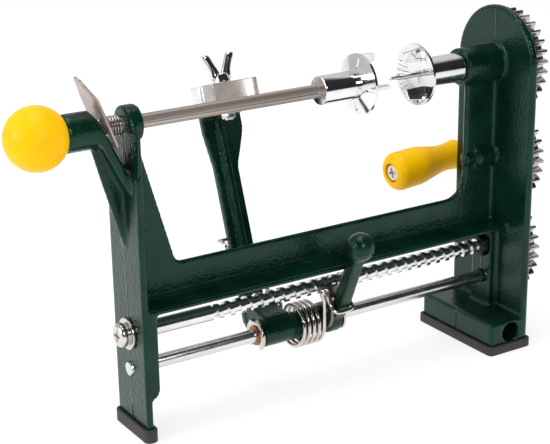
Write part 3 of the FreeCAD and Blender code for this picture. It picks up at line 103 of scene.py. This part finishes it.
def addLamps(settings):
    for name, lamp in settings["lamps"].items():
        bpy.ops.object.light_add(type="AREA", location=lamp["place"])
        light = bpy.context.object
        light.name = name
        light.data.shape = "RECTANGLE"
        light.data.size, light.data.size_y = lamp["size"]
        light.data.energy = lamp["power"]
        towards = Vector(settings["aim"]) - Vector(lamp["place"])
        light.rotation_euler = towards.to_track_quat("-Z", "Y").to_euler()


def opaque(color):
    return (*color, 1)


def gray(level):
    return (level, level, level, 1)


def addRamp(owner, source, stops):
    ramp = owner.node_tree.nodes.new("ShaderNodeValToRGB")
    elements = ramp.color_ramp.elements
    while len(elements) > 1:
        elements.remove(elements[0])
    for index, (place, color) in enumerate(stops):
        element = elements[0] if index == 0 else elements.new(place)
        element.position = place
        element.color = color
    owner.node_tree.links.new(source, ramp.inputs["Fac"])
    return ramp.outputs["Color"]


def addGrayRamp(owner, source, stops):
    return addRamp(owner, source, [(place, gray(level)) for place, level in stops])


def addSeenRays(owner):
    # 1 for the rays that show a surface to the viewer, 0 for the rays that light matt surfaces
    nodes, links = owner.node_tree.nodes, owner.node_tree.links
    path = nodes.new("ShaderNodeLightPath")
    total = path.outputs["Is Camera Ray"]
    for name in ("Is Glossy Ray", "Is Transmission Ray"):
        adder = nodes.new("ShaderNodeMath")
        adder.operation = "ADD"
        adder.use_clamp = True
        links.new(total, adder.inputs[0])
        links.new(path.outputs[name], adder.inputs[1])
        total = adder.outputs[0]
    return total


def addMix(owner, factor, second):
    mix = owner.node_tree.nodes.new("ShaderNodeMix")
    mix.data_type = "RGBA"
    owner.node_tree.links.new(factor, mix.inputs["Factor"])
    owner.node_tree.links.new(second, mix.inputs["B"])
    return mix


worldSettings = {
    # height of the direction against brightness, in front of the object and behind it
    "front": [(0.0, 0.02), (1.0, 0.04)],
    "back": [(0.0, 0.75), (0.4, 0.9), (0.76, 0.9), (0.86, 0.04)],
    # depth of the direction against the share of the back
    "turnover": [(0.42, 0.0), (0.58, 1.0)],
    # brightness all round for light that falls on a matt surface
    "fill": 0.8,
    "strength": 0.75,
}


def addWorld(settings):
    world = bpy.data.worlds.new("studio")
    bpy.context.scene.world = world
    world.use_nodes = True
    nodes, links = world.node_tree.nodes, world.node_tree.links
    background = nodes["Background"]
    background.inputs["Strength"].default_value = settings["strength"]
    coordinate = nodes.new("ShaderNodeTexCoord")
    split = nodes.new("ShaderNodeSeparateXYZ")
    links.new(coordinate.outputs["Generated"], split.inputs[0])
    depth = nodes.new("ShaderNodeMapRange")
    depth.inputs["From Min"].default_value = -1
    links.new(split.outputs["Y"], depth.inputs["Value"])
    turnover = addGrayRamp(world, depth.outputs["Result"], settings["turnover"])
    sides = addMix(world, turnover, addGrayRamp(world, split.outputs["Z"], settings["back"]))
    links.new(addGrayRamp(world, split.outputs["Z"], settings["front"]), sides.inputs["A"])
    seen = addMix(world, addSeenRays(world), sides.outputs["Result"])
    seen.inputs["A"].default_value = gray(settings["fill"])
    links.new(seen.outputs["Result"], background.inputs["Color"])


def newFinish(name, color, metallic, roughness):
    material = bpy.data.materials.new(name)
    material.use_nodes = True
    shader = material.node_tree.nodes["Principled BSDF"]
    shader.inputs["Base Color"].default_value = color
    shader.inputs["Metallic"].default_value = metallic
    shader.inputs["Roughness"].default_value = roughness
    return material, shader


floorSettings = {"size": 24.0, "color": 0.42, "roughness": 0.9, "unseenGlow": 0.7, "seenGlow": 0.66}


def addFloor(settings):
    bpy.ops.mesh.primitive_plane_add(size=settings["size"], location=(0, 0, 0))
    floor = bpy.context.object
    floor.name = "tableTop"
    material, shader = newFinish("paleTable", gray(settings["color"]), 0.0, settings["roughness"])
    shader.inputs["Specular IOR Level"].default_value = 0.0
    shader.inputs["Emission Color"].default_value = gray(1)
    glow = material.node_tree.nodes.new("ShaderNodeMapRange")
    glow.inputs["To Min"].default_value = settings["unseenGlow"]
    glow.inputs["To Max"].default_value = settings["seenGlow"]
    links = material.node_tree.links
    links.new(addSeenRays(material), glow.inputs["Value"])
    links.new(glow.outputs["Result"], shader.inputs["Emission Strength"])
    floor.data.materials.append(material)


def addNoise(material, scale, detail, stretch=(1, 1, 1)):
    nodes, links = material.node_tree.nodes, material.node_tree.links
    coordinate = nodes.new("ShaderNodeTexCoord")
    mapping = nodes.new("ShaderNodeMapping")
    mapping.inputs["Scale"].default_value = stretch
    noise = nodes.new("ShaderNodeTexNoise")
    noise.inputs["Scale"].default_value = scale
    noise.inputs["Detail"].default_value = detail
    links.new(coordinate.outputs["Object"], mapping.inputs["Vector"])
    links.new(mapping.outputs["Vector"], noise.inputs["Vector"])
    return noise.outputs["Fac"]


def spreadColor(material, shader, source, ends, colors):
    color = addRamp(material, source, [(end, opaque(color)) for end, color in zip(ends, colors)])
    material.node_tree.links.new(color, shader.inputs["Base Color"])


def spreadRoughness(material, shader, source, ends, levels):
    level = addGrayRamp(material, source, zip(ends, levels))
    material.node_tree.links.new(level, shader.inputs["Roughness"])


def addBump(material, shader, source, strength, depth, under=None):
    nodes, links = material.node_tree.nodes, material.node_tree.links
    bump = nodes.new("ShaderNodeBump")
    bump.inputs["Strength"].default_value = strength
    bump.inputs["Distance"].default_value = depth
    links.new(source, bump.inputs["Height"])
    if under:
        links.new(under, bump.inputs["Normal"])
    links.new(bump.outputs["Normal"], shader.inputs["Normal"])
    return bump.outputs["Normal"]


# In the finishes a scale is the size of a noise per metre, ends are the two values of the
# noise between which a color or a roughness changes, and a depth is in metres.
enamelSettings = {
    "roughness": 0.2,
    "specular": 0.42,
    "tint": (0.5, 0.9, 0.72),
    "cloud": {"scale": 55, "detail": 4, "ends": (0.38, 0.62),
              "colors": ((0.0012, 0.0125, 0.0066), (0.0028, 0.0215, 0.012))},
    "gloss": {"scale": 170, "detail": 3, "ends": (0.35, 0.65), "levels": (0.05, 0.15)},
    "casting": {"scale": 260, "detail": 2, "strength": 0.5, "depth": 0.0003},
    "skin": {"scale": 700, "detail": 3, "strength": 0.6, "depth": 0.0005},
    # the ridge where the mould parted
    "parting": {"halfWidth": 0.0007, "strength": 1.0, "depth": 0.0004},
}


def addParting(material, halfWidth):
    nodes, links = material.node_tree.nodes, material.node_tree.links
    coordinate = nodes.new("ShaderNodeTexCoord")
    split = nodes.new("ShaderNodeSeparateXYZ")
    links.new(coordinate.outputs["Object"], split.inputs[0])
    away = nodes.new("ShaderNodeMath")
    away.operation = "ABSOLUTE"
    links.new(split.outputs["Y"], away.inputs[0])
    ridge = nodes.new("ShaderNodeMapRange")
    ridge.interpolation_type = "SMOOTHSTEP"
    ridge.inputs["From Max"].default_value = halfWidth
    ridge.inputs["To Min"].default_value = 1
    ridge.inputs["To Max"].default_value = 0
    links.new(away.outputs["Value"], ridge.inputs["Value"])
    return ridge.outputs["Result"]


def makeEnamel(settings):
    cloud, gloss, parting = settings["cloud"], settings["gloss"], settings["parting"]
    material, shader = newFinish("greenEnamel", opaque(cloud["colors"][0]), 0.0, settings["roughness"])
    shader.inputs["Specular IOR Level"].default_value = settings["specular"]
    shader.inputs["Specular Tint"].default_value = opaque(settings["tint"])
    cloudNoise = addNoise(material, cloud["scale"], cloud["detail"])
    spreadColor(material, shader, cloudNoise, cloud["ends"], cloud["colors"])
    glossNoise = addNoise(material, gloss["scale"], gloss["detail"])
    spreadRoughness(material, shader, glossNoise, gloss["ends"], gloss["levels"])
    relief = None
    for name in ("casting", "skin"):
        layer = settings[name]
        noise = addNoise(material, layer["scale"], layer["detail"])
        relief = addBump(material, shader, noise, layer["strength"], layer["depth"], relief)
    ridge = addParting(material, parting["halfWidth"])
    addBump(material, shader, ridge, parting["strength"], parting["depth"], relief)
    return material


metalDefaults = {
    "stretch": (1, 1, 1),
    "metallic": 1.0,
    # the color times these at its darkest and its lightest
    "shade": 0.88,
    "light": 1.06,
    "ends": (0.3, 0.7),
    "wearDetail": 3,
    "tintDetail": 2,
    # size of the tint's noise to that of the wear
    "tintShare": 0.4,
    "smoothest": 0.02,
    "depth": 0.0002,
}
metalSettings = {
    # slot: name, color, roughness and how far it strays either way, scale of the wear, strength of its relief
    "chromed_rod": {"name": "chromedRod", "color": (0.74, 0.73, 0.74), "roughness": 0.24, "spread": 0.06,
                    "scale": 400, "relief": 0.15, "stretch": (0.2, 1, 1)},
    "chromed_screw": {"name": "chromedScrew", "color": (0.8, 0.8, 0.82), "roughness": 0.16, "spread": 0.05,
                      "scale": 220, "relief": 0.1},
    "nickel_rod": {"name": "satinNickel", "color": (0.56, 0.49, 0.44), "roughness": 0.3, "spread": 0.06,
                   "scale": 900, "relief": 0.08, "stretch": (0.01, 1, 1), "metallic": 0.7, "shade": 0.5},
    "bronze": {"name": "oiledBronze", "color": (0.36, 0.15, 0.07), "roughness": 0.32, "spread": 0.1,
               "scale": 260, "relief": 0.15},
    "blackened_steel": {"name": "blackenedSteel", "color": (0.04, 0.04, 0.042), "roughness": 0.35,
                        "spread": 0.1, "scale": 260, "relief": 0.15},
    "gear_steel": {"name": "gearSteel", "color": (0.5, 0.5, 0.51), "roughness": 0.2, "spread": 0.07,
                   "scale": 350, "relief": 0.1},
    "zinc_steel": {"name": "zincSteel", "color": (0.66, 0.63, 0.6), "roughness": 0.22, "spread": 0.08,
                   "scale": 300, "relief": 0.1},
    "chrome_claw": {"name": "polishedChrome", "color": (0.82, 0.82, 0.84), "roughness": 0.12, "spread": 0.04,
                    "scale": 140, "relief": 0.08},
    "latch_steel": {"name": "latchSteel", "color": (0.48, 0.41, 0.37), "roughness": 0.36, "spread": 0.1,
                    "scale": 700, "relief": 0.3, "metallic": 0.7},
    "spring_wire": {"name": "springWire", "color": (0.64, 0.6, 0.55), "roughness": 0.18, "spread": 0.06,
                    "scale": 400, "relief": 0.05},
    "blade_steel": {"name": "bladeSteel", "color": (0.62, 0.55, 0.51), "roughness": 0.28, "spread": 0.04,
                    "scale": 320, "relief": 0.03, "metallic": 0.55},
    "clamp_metal": {"name": "clampCasting", "color": (0.8, 0.79, 0.78), "roughness": 0.3, "spread": 0.05,
                    "scale": 300, "relief": 0.05, "metallic": 0.4},
    "follower_steel": {"name": "followerSteel", "color": (0.22, 0.19, 0.17), "roughness": 0.42, "spread": 0.1,
                       "scale": 500, "relief": 0.2},
}


def makeMetal(settings):
    values = {**metalDefaults, **settings}
    color, roughness, spread = values["color"], values["roughness"], values["spread"]
    material, shader = newFinish(values["name"], opaque(color), values["metallic"], roughness)
    wear = addNoise(material, values["scale"], values["wearDetail"], values["stretch"])
    levels = (max(values["smoothest"], roughness - spread), roughness + spread)
    spreadRoughness(material, shader, wear, values["ends"], levels)
    tint = addNoise(material, values["scale"] * values["tintShare"], values["tintDetail"], values["stretch"])
    dark = [values["shade"] * part for part in color]
    light = [min(1.0, values["light"] * part) for part in color]
    spreadColor(material, shader, tint, values["ends"], (dark, light))
    addBump(material, shader, wear, values["relief"], values["depth"])
    return material


rubberSettings = {
    "color": (0.03, 0.025, 0.026),
    "roughness": 0.62,
    "speck": {"scale": 900, "detail": 2, "ends": (0.3, 0.7), "strength": 0.3, "depth": 0.0002,
              "colors": ((0.02, 0.016, 0.017), (0.042, 0.034, 0.035))},
}


def makeRubber(settings):
    speck = settings["speck"]
    material, shader = newFinish("padRubber", opaque(settings["color"]), 0.0, settings["roughness"])
    noise = addNoise(material, speck["scale"], speck["detail"])
    spreadColor(material, shader, noise, speck["ends"], speck["colors"])
    addBump(material, shader, noise, speck["strength"], speck["depth"])
    return material


lacquerSettings = {
    "color": (0.95, 0.55, 0.002),
    "roughness": 0.34,
    "specular": 0.12,
    # light that enters the coat: share, reach of each color, depth in metres
    "glowWeight": 0.4,
    "glowRadius": (1.0, 0.22, 0.01),
    "glowDepth": 0.012,
    "cloud": {"scale": 40, "detail": 2, "ends": (0.35, 0.65),
              "colors": ((0.94, 0.49, 0.001), (0.98, 0.55, 0.002))},
    "gloss": {"scale": 200, "detail": 3, "ends": (0.3, 0.7), "levels": (0.3, 0.4)},
    "peel": {"scale": 500, "detail": 2, "strength": 0.05, "depth": 0.0002},
}


def makeLacquer(settings):
    cloud, gloss, peel = settings["cloud"], settings["gloss"], settings["peel"]
    material, shader = newFinish("yellowLacquer", opaque(settings["color"]), 0.0, settings["roughness"])
    shader.inputs["Specular IOR Level"].default_value = settings["specular"]
    shader.inputs["Subsurface Weight"].default_value = settings["glowWeight"]
    shader.inputs["Subsurface Radius"].default_value = settings["glowRadius"]
    shader.inputs["Subsurface Scale"].default_value = settings["glowDepth"]
    cloudNoise = addNoise(material, cloud["scale"], cloud["detail"])
    spreadColor(material, shader, cloudNoise, cloud["ends"], cloud["colors"])
    glossNoise = addNoise(material, gloss["scale"], gloss["detail"])
    spreadRoughness(material, shader, glossNoise, gloss["ends"], gloss["levels"])
    peelNoise = addNoise(material, peel["scale"], peel["detail"])
    addBump(material, shader, peelNoise, peel["strength"], peel["depth"])
    return material


addCamera(cameraSettings)
addLamps(lampSettings)
addWorld(worldSettings)
addFloor(floorSettings)
print("stage set")

finishes = {slotName: makeMetal(settings) for slotName, settings in metalSettings.items()}
finishes["green_enamel"] = makeEnamel(enamelSettings)
finishes["pad_rubber"] = makeRubber(rubberSettings)
finishes["yellow_lacquer"] = makeLacquer(lacquerSettings)
slots = {part["node"]: part["material_slot"] for part in frame["record"]["subparts"]}
homes = {node: body for body, members in frame["record"]["behaviour"]["bodies"].items() for node in members}


def giveFinish(piece, nodeName):
    piece.data.materials.clear()
    piece.data.materials.append(finishes[slots[nodeName]])


for nodeName, nodeObject in frame["nodes"].items():
    giveFinish(nodeObject, nodeName)
print("finishes given to the nodes")


def pickOnly(piece):
    bpy.ops.object.select_all(action="DESELECT")
    piece.select_set(True)
    bpy.context.view_layer.objects.active = piece


def applyModifier(piece, kind, **values):
    modifier = piece.modifiers.new(kind.lower(), kind)
    for key, value in values.items():
        setattr(modifier, key, value)
    pickOnly(piece)
    bpy.ops.object.modifier_apply(modifier=modifier.name)


def bevelSharpEdges(piece, width, segments, sharpAngle=30, **values):
    applyModifier(piece, "BEVEL", width=width, segments=segments, limit_method="ANGLE",
                  angle_limit=math.radians(sharpAngle), **values)


def smoothBelow(piece, degrees):
    pickOnly(piece)
    bpy.ops.object.shade_smooth_by_angle(angle=math.radians(degrees))


def closeMesh():
    # in edit mode: joins doubled points and turns every face outward
    bpy.ops.mesh.select_all(action="SELECT")
    bpy.ops.mesh.remove_doubles(threshold=0.00001)
    bpy.ops.mesh.normals_make_consistent(inside=False)


def addCube(name, place, size):
    bpy.ops.object.select_all(action="DESELECT")
    bpy.ops.mesh.primitive_cube_add(size=1, location=place, scale=size)
    piece = bpy.context.object
    piece.name = name
    bpy.ops.object.transform_apply(location=True, rotation=True, scale=True)
    return piece


def selectWhere(piece, kind, test):
    mesh = bmesh.from_edit_mesh(piece.data)
    bpy.ops.mesh.select_all(action="DESELECT")
    bpy.context.tool_settings.mesh_select_mode = (False, kind == "EDGE", kind == "FACE")
    items = mesh.edges if kind == "EDGE" else mesh.faces
    for item in items:
        if test(item):
            item.select_set(True)
    mesh.select_flush_mode()
    bmesh.update_edit_mesh(piece.data)


# Tests for selectWhere: how near a point counts as on a plane, how much of a normal has to
# face an axis, and from what difference in height an edge is upright, in metres.
onPlane = 0.0001
facing = 0.9
uprightRise = 0.001


def isUpright(edge):
    return abs(edge.verts[0].co.z - edge.verts[1].co.z) > uprightRise


def extrudeBy(step):
    bpy.ops.mesh.extrude_region_move(TRANSFORM_OT_translate={"value": step})


def camelName(nodeName):
    first, *others = nodeName.split("_")
    return first + "".join(word.capitalize() for word in others)


def copyNode(nodeName, flatten=True):
    piece = bpy.data.objects.new(camelName(nodeName), frame["nodes"][nodeName].data.copy())
    bpy.context.collection.objects.link(piece)
    pickOnly(piece)
    if piece.data.has_custom_normals:
        bpy.ops.mesh.customdata_custom_splitnormals_clear()
    bpy.ops.object.mode_set(mode="EDIT")
    bpy.ops.mesh.select_all(action="SELECT")
    bpy.ops.mesh.remove_doubles(threshold=0.000002)
    if flatten:
        bpy.ops.mesh.dissolve_limited(angle_limit=math.radians(0.4))
    bpy.ops.object.mode_set(mode="OBJECT")
    return piece


def handOver(piece, nodeName):
    giveFinish(piece, nodeName)
    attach(piece, homes[nodeName])
    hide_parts(nodeName)


def clearBore(piece, axis, centre, radius, start, end):
    # pushes the wall of a bore back out to its own radius, and leaves what lies near its axis
    nearAxis = 0.3 * radius
    along = "XYZ".index(axis)
    first, second = [index for index in range(3) if index != along]
    for vertex in piece.data.vertices:
        place = vertex.co
        if start <= place[along] <= end:
            offset = Vector((place[first] - centre[0], place[second] - centre[1]))
            if nearAxis < offset.length < radius:
                offset *= radius / offset.length
                place[first], place[second] = centre[0] + offset.x, centre[1] + offset.y


castingSettings = {
    # cell of the new mesh in metres, rounds of smoothing, and for each bore to clear:
    # axis, centre across it, radius, start, end
    "frame_casting": {
        "cell": 0.0011,
        "rounds": 4,
        "bores": [
            ("X", (0.0, 0.1810), 0.00408, -0.30, -0.24),
            ("X", (0.0, 0.1810), 0.0072, -0.04, 0.02),
            ("X", (0.0, 0.1209), 0.00408, -0.04, 0.02),
            ("Y", (-0.0086, 0.0124), 0.00625, -0.05, 0.02),
        ],
    },
    "peeler_arm": {"cell": 0.0007, "rounds": 5, "bores": [("X", (0.0, 0.0393), 0.00606, -0.18, -0.12)]},
    "release_lever": {"cell": 0.0006, "rounds": 26, "bores": [("X", (0.0, 0.0393), 0.00606, -0.14, -0.11)]},
    "crank_arm": {"cell": 0.0007, "rounds": 5, "bores": []},
}


def makeCastings(settings):
    for nodeName, casting in settings.items():
        piece = copyNode(nodeName, flatten=False)
        applyModifier(piece, "REMESH", mode="VOXEL", voxel_size=casting["cell"])
        applyModifier(piece, "SMOOTH", factor=0.5, iterations=casting["rounds"])
        for bore in casting["bores"]:
            clearBore(piece, *bore)
        pickOnly(piece)
        bpy.ops.object.shade_smooth()
        handOver(piece, nodeName)
        print("casting", piece.name, "has", len(piece.data.polygons), "faces")


machinedSettings = {
    # degrees from which an edge is broken, and up to which it is shaded smooth
    "sharpAngle": 40,
    "smoothAngle": 38,
    # width of the broken edge in metres
    "widths": {
        "spindle_gear": 0.00022, "drive_gear": 0.00022, "lead_screw_gear": 0.00022,
        "latch_plate": 0.0004,
        "pusher_claw": 0.0003, "spindle_claw": 0.0003,
        "end_washer": 0.0003, "end_spring_washer": 0.0002, "end_screw": 0.0003,
        "lead_gear_washer": 0.0003, "lead_gear_screw": 0.0003, "spindle_gear_washer": 0.0003,
        "spindle_gear_screw": 0.0003, "clamp_nut": 0.0003, "crank_nut": 0.0004, "crank_spacer": 0.0003,
        "thread_follower": 0.0003, "follower_rivet": 0.0003, "bush_clips": 0.0003, "carriage_bush": 0.0003,
        "guide_rod": 0.0006, "screw_bush": 0.0003, "spindle_bush": 0.0003, "grip_stud": 0.0003,
    },
}


def makeMachined(settings):
    for nodeName, width in settings["widths"].items():
        piece = copyNode(nodeName)
        bevelSharpEdges(piece, width, 2, settings["sharpAngle"], miter_outer="MITER_ARC")
        smoothBelow(piece, settings["smoothAngle"])
        handOver(piece, nodeName)
    print(len(settings["widths"]), "machined pieces have broken edges")


makeCastings(castingSettings)
makeMachined(machinedSettings)

padSettings = {
    "nodes": ("foot_pad_right", "foot_pad_left"),
    # thickness of the wall and the floor, radius of the upright corners and of the rims, in metres
    "wall": 0.002,
    "floor": 0.0034,
    "corner": 0.0034,
    "lip": 0.0006,
    # radians from which an edge counts as a rim
    "rimAngle": 1,
    "smoothAngle": 40,
}


def makePad(nodeName, settings):
    low, high = (Vector(corner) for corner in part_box(nodeName))
    piece = addCube(camelName(nodeName), (low + high) / 2, high - low)
    bpy.ops.object.mode_set(mode="EDIT")
    selectWhere(piece, "EDGE", isUpright)
    bpy.ops.mesh.bevel(offset=settings["corner"], segments=6, affect="EDGES")
    selectWhere(piece, "FACE", lambda face: face.normal.z > facing)
    bpy.ops.mesh.inset(thickness=settings["wall"])
    extrudeBy((0, 0, settings["floor"] - high.z))

    def isRim(edge, onLevel):
        return (all(onLevel(vertex.co.z) for vertex in edge.verts) and len(edge.link_faces) == 2
                and edge.calc_face_angle(0) > settings["rimAngle"])

    for onLevel in (lambda height: height > high.z - onPlane, lambda height: height < low.z + onPlane):
        selectWhere(piece, "EDGE", lambda edge: isRim(edge, onLevel))
        bpy.ops.mesh.bevel(offset=settings["lip"], segments=3, affect="EDGES")
    closeMesh()
    bpy.ops.object.mode_set(mode="OBJECT")
    smoothBelow(piece, settings["smoothAngle"])
    handOver(piece, nodeName)


for padName in padSettings["nodes"]:
    makePad(padName, padSettings)
print("pads made")

# The pieces on the arm are modelled as if it stood upright, and leanWithArm leans them.
armSettings = {"pivot": (0, 0, 0.0393), "lean": -19.4}


def leanWithArm(piece):
    lean = turnMatrix("X", armSettings["lean"], 4)
    piece.matrix_world = Matrix.Translation(armSettings["pivot"]) @ lean @ piece.matrix_world
    pickOnly(piece)
    bpy.ops.object.transform_apply(location=True, rotation=True, scale=True)
    bpy.ops.object.mode_set(mode="EDIT")
    closeMesh()
    bpy.ops.object.mode_set(mode="OBJECT")


wingSettings = {
    "foot": {"place": (0.0036, 0, 0.0030), "size": (0.0068, 0.0054, 0.0046)},
    # steps up the wing: sideways, up, narrowing
    "steps": [(0.0008, 0.0030, 0.95), (0.0018, 0.0036, 0.95), (0.0018, 0.0036, 1.08), (0.0006, 0.0022, 0.9)],
    "rounding": 2,
    "hub": {"low": 0.0056, "high": 0.0042, "height": 0.0055, "edge": 0.0006},
    # its top is a little way up in the hub
    "shank": {"radius": 0.0025, "length": 0.0224, "top": 0.0002, "edge": 0.0004},
    "place": (-0.169, -0.003, 0.150),
    "smoothAngle": 45,
}


def makeWingBolt(settings):
    piece = addCube("wingBolt", settings["foot"]["place"], settings["foot"]["size"])
    bpy.ops.object.mode_set(mode="EDIT")
    selectWhere(piece, "FACE", lambda face: face.normal.z > facing)
    for sideways, up, narrowing in settings["steps"]:
        extrudeBy((sideways, 0, up))
        bpy.ops.transform.resize(value=(narrowing, narrowing, 1))
    bpy.ops.object.mode_set(mode="OBJECT")
    applyModifier(piece, "MIRROR", use_axis=(True, False, False))
    applyModifier(piece, "SUBSURF", levels=settings["rounding"], render_levels=settings["rounding"])
    hub, shank = settings["hub"], settings["shank"]
    bpy.ops.mesh.primitive_cone_add(vertices=40, radius1=hub["low"], radius2=hub["high"], depth=hub["height"],
                                    location=(0, 0, hub["height"] / 2))
    hubPiece = bpy.context.object
    bevelSharpEdges(hubPiece, hub["edge"], 3)
    bpy.ops.mesh.primitive_cylinder_add(vertices=32, radius=shank["radius"], depth=shank["length"],
                                        location=(0, 0, shank["top"] - shank["length"] / 2))
    shankPiece = bpy.context.object
    bevelSharpEdges(shankPiece, shank["edge"], 2)
    for part in (piece, hubPiece, shankPiece):
        part.select_set(True)
    bpy.context.view_layer.objects.active = piece
    bpy.ops.object.join()
    piece.matrix_world = Matrix.Translation(settings["place"]) @ piece.matrix_world
    leanWithArm(piece)
    smoothBelow(piece, settings["smoothAngle"])
    handOver(piece, "wing_bolt")


makeWingBolt(wingSettings)

bladeSettings = {
    # plan of the band, from its front left end round to its back left end
    "plan": [(-0.1792, -0.0089), (-0.1730, -0.0089), (-0.1670, -0.0090), (-0.1615, -0.0096), (-0.1565, -0.0108),
             (-0.1525, -0.0122), (-0.1504, -0.0116), (-0.1500, -0.0092), (-0.1500, -0.0030), (-0.1504, 0.0008),
             (-0.1526, 0.0026), (-0.1570, 0.0029), (-0.1670, 0.0029), (-0.1792, 0.0029)],
    "bottom": 0.137,
    "height": 0.013,
    "sheet": 0.0008,
    "edge": 0.00015,
    "rounding": 3,
    "sharpAngle": 50,
    "smoothAngle": 40,
}


def makeBlade(settings):
    plan, height = settings["plan"], settings["height"]
    middle = settings["bottom"] + height / 2
    bpy.ops.object.select_all(action="DESELECT")
    first, second = (Vector((*point, middle)) for point in plan[:2])
    bpy.ops.mesh.primitive_plane_add(size=1, location=(first + second) / 2, rotation=(math.radians(90), 0, 0))
    piece = bpy.context.object
    piece.name = "ringBlade"
    piece.scale = ((second - first).length, height, 1)
    bpy.ops.object.transform_apply(location=True, rotation=True, scale=True)
    bpy.ops.object.mode_set(mode="EDIT")
    selectWhere(piece, "EDGE", lambda edge: all(vertex.co.x > second.x - onPlane for vertex in edge.verts))
    for before, after in zip(plan[1:], plan[2:]):
        extrudeBy((after[0] - before[0], after[1] - before[1], 0))
    bpy.ops.object.mode_set(mode="OBJECT")
    applyModifier(piece, "SUBSURF", levels=settings["rounding"], render_levels=settings["rounding"],
                  boundary_smooth="PRESERVE_CORNERS")
    applyModifier(piece, "SOLIDIFY", thickness=settings["sheet"], offset=0.0)
    bevelSharpEdges(piece, settings["edge"], 2, settings["sharpAngle"])
    leanWithArm(piece)
    smoothBelow(piece, settings["smoothAngle"])
    handOver(piece, "ring_blade")


makeBlade(bladeSettings)

clampSettings = {
    # broad end of the block, low and high corner
    "end": ((-0.1885, -0.0093, 0.136), (-0.1796, 0.0033, 0.150)),
    # how far the long part is set back from the broad end, and its length
    "step": 0.0008,
    "core": 0.0215,
    "corner": 0.0028,
    "edge": 0.0007,
    "hole": {"centre": (-0.169, -0.003, 0.143), "radius": 0.0028, "depth": 0.02},
    "sharpAngle": 50,
    "smoothAngle": 40,
}


def makeClamp(settings):
    low, high = (Vector(corner) for corner in settings["end"])
    piece = addCube("bladeClamp", (low + high) / 2, high - low)
    bpy.ops.object.mode_set(mode="EDIT")
    selectWhere(piece, "EDGE", lambda edge: isUpright(edge)
                and all(vertex.co.x < low.x + onPlane for vertex in edge.verts))
    bpy.ops.mesh.bevel(offset=settings["corner"], segments=6, affect="EDGES")
    selectWhere(piece, "FACE", lambda face: face.normal.x > facing)
    bpy.ops.mesh.inset(thickness=settings["step"])
    extrudeBy((settings["core"], 0, 0))
    bpy.ops.object.mode_set(mode="OBJECT")
    hole = settings["hole"]
    bpy.ops.mesh.primitive_cylinder_add(vertices=40, radius=hole["radius"], depth=hole["depth"],
                                        location=hole["centre"])
    drill = bpy.context.object
    applyModifier(piece, "BOOLEAN", operation="DIFFERENCE", object=drill, solver="EXACT")
    bpy.data.objects.remove(drill)
    bevelSharpEdges(piece, settings["edge"], 3, settings["sharpAngle"])
    leanWithArm(piece)
    smoothBelow(piece, settings["smoothAngle"])
    handOver(piece, "blade_clamp")


makeClamp(clampSettings)

springSettings = {
    "smoothAngle": 50,
    # where the torsion spring is cut between its left and its right half
    "cut": -0.1461,
    # each stretch names the two bodies it would turn between and the two places along X where that turn would
    # start and end; makeSpring reads neither
    "stretches": [
        {"node": "torsion_spring", "name": "torsionSpringLeft", "side": 1,
         "bodies": ("arm", "carriage"), "start": -0.168, "end": -0.1475},
        {"node": "torsion_spring", "name": "torsionSpringRight", "side": -1,
         "bodies": ("carriage", "lever"), "start": -0.1447, "end": -0.1376},
        {"node": "latch_spring", "name": "latchSpring", "side": None,
         "bodies": ("latch", "base"), "start": -0.2662, "end": -0.259},
    ],
}


def makeSpring(stretch, settings):
    nodeName = stretch["node"]
    piece = copyNode(nodeName, flatten=False)
    piece.name = stretch["name"]
    if stretch["side"]:
        bpy.ops.object.mode_set(mode="EDIT")
        bpy.ops.mesh.select_all(action="SELECT")
        bpy.ops.mesh.bisect(plane_co=(settings["cut"], 0, 0), plane_no=(stretch["side"], 0, 0), use_fill=True,
                            clear_outer=True)
        bpy.ops.object.mode_set(mode="OBJECT")
    smoothBelow(piece, settings["smoothAngle"])
    giveFinish(piece, nodeName)
    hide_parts(nodeName)
    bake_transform(piece)


for stretch in springSettings["stretches"]:
    makeSpring(stretch, springSettings)
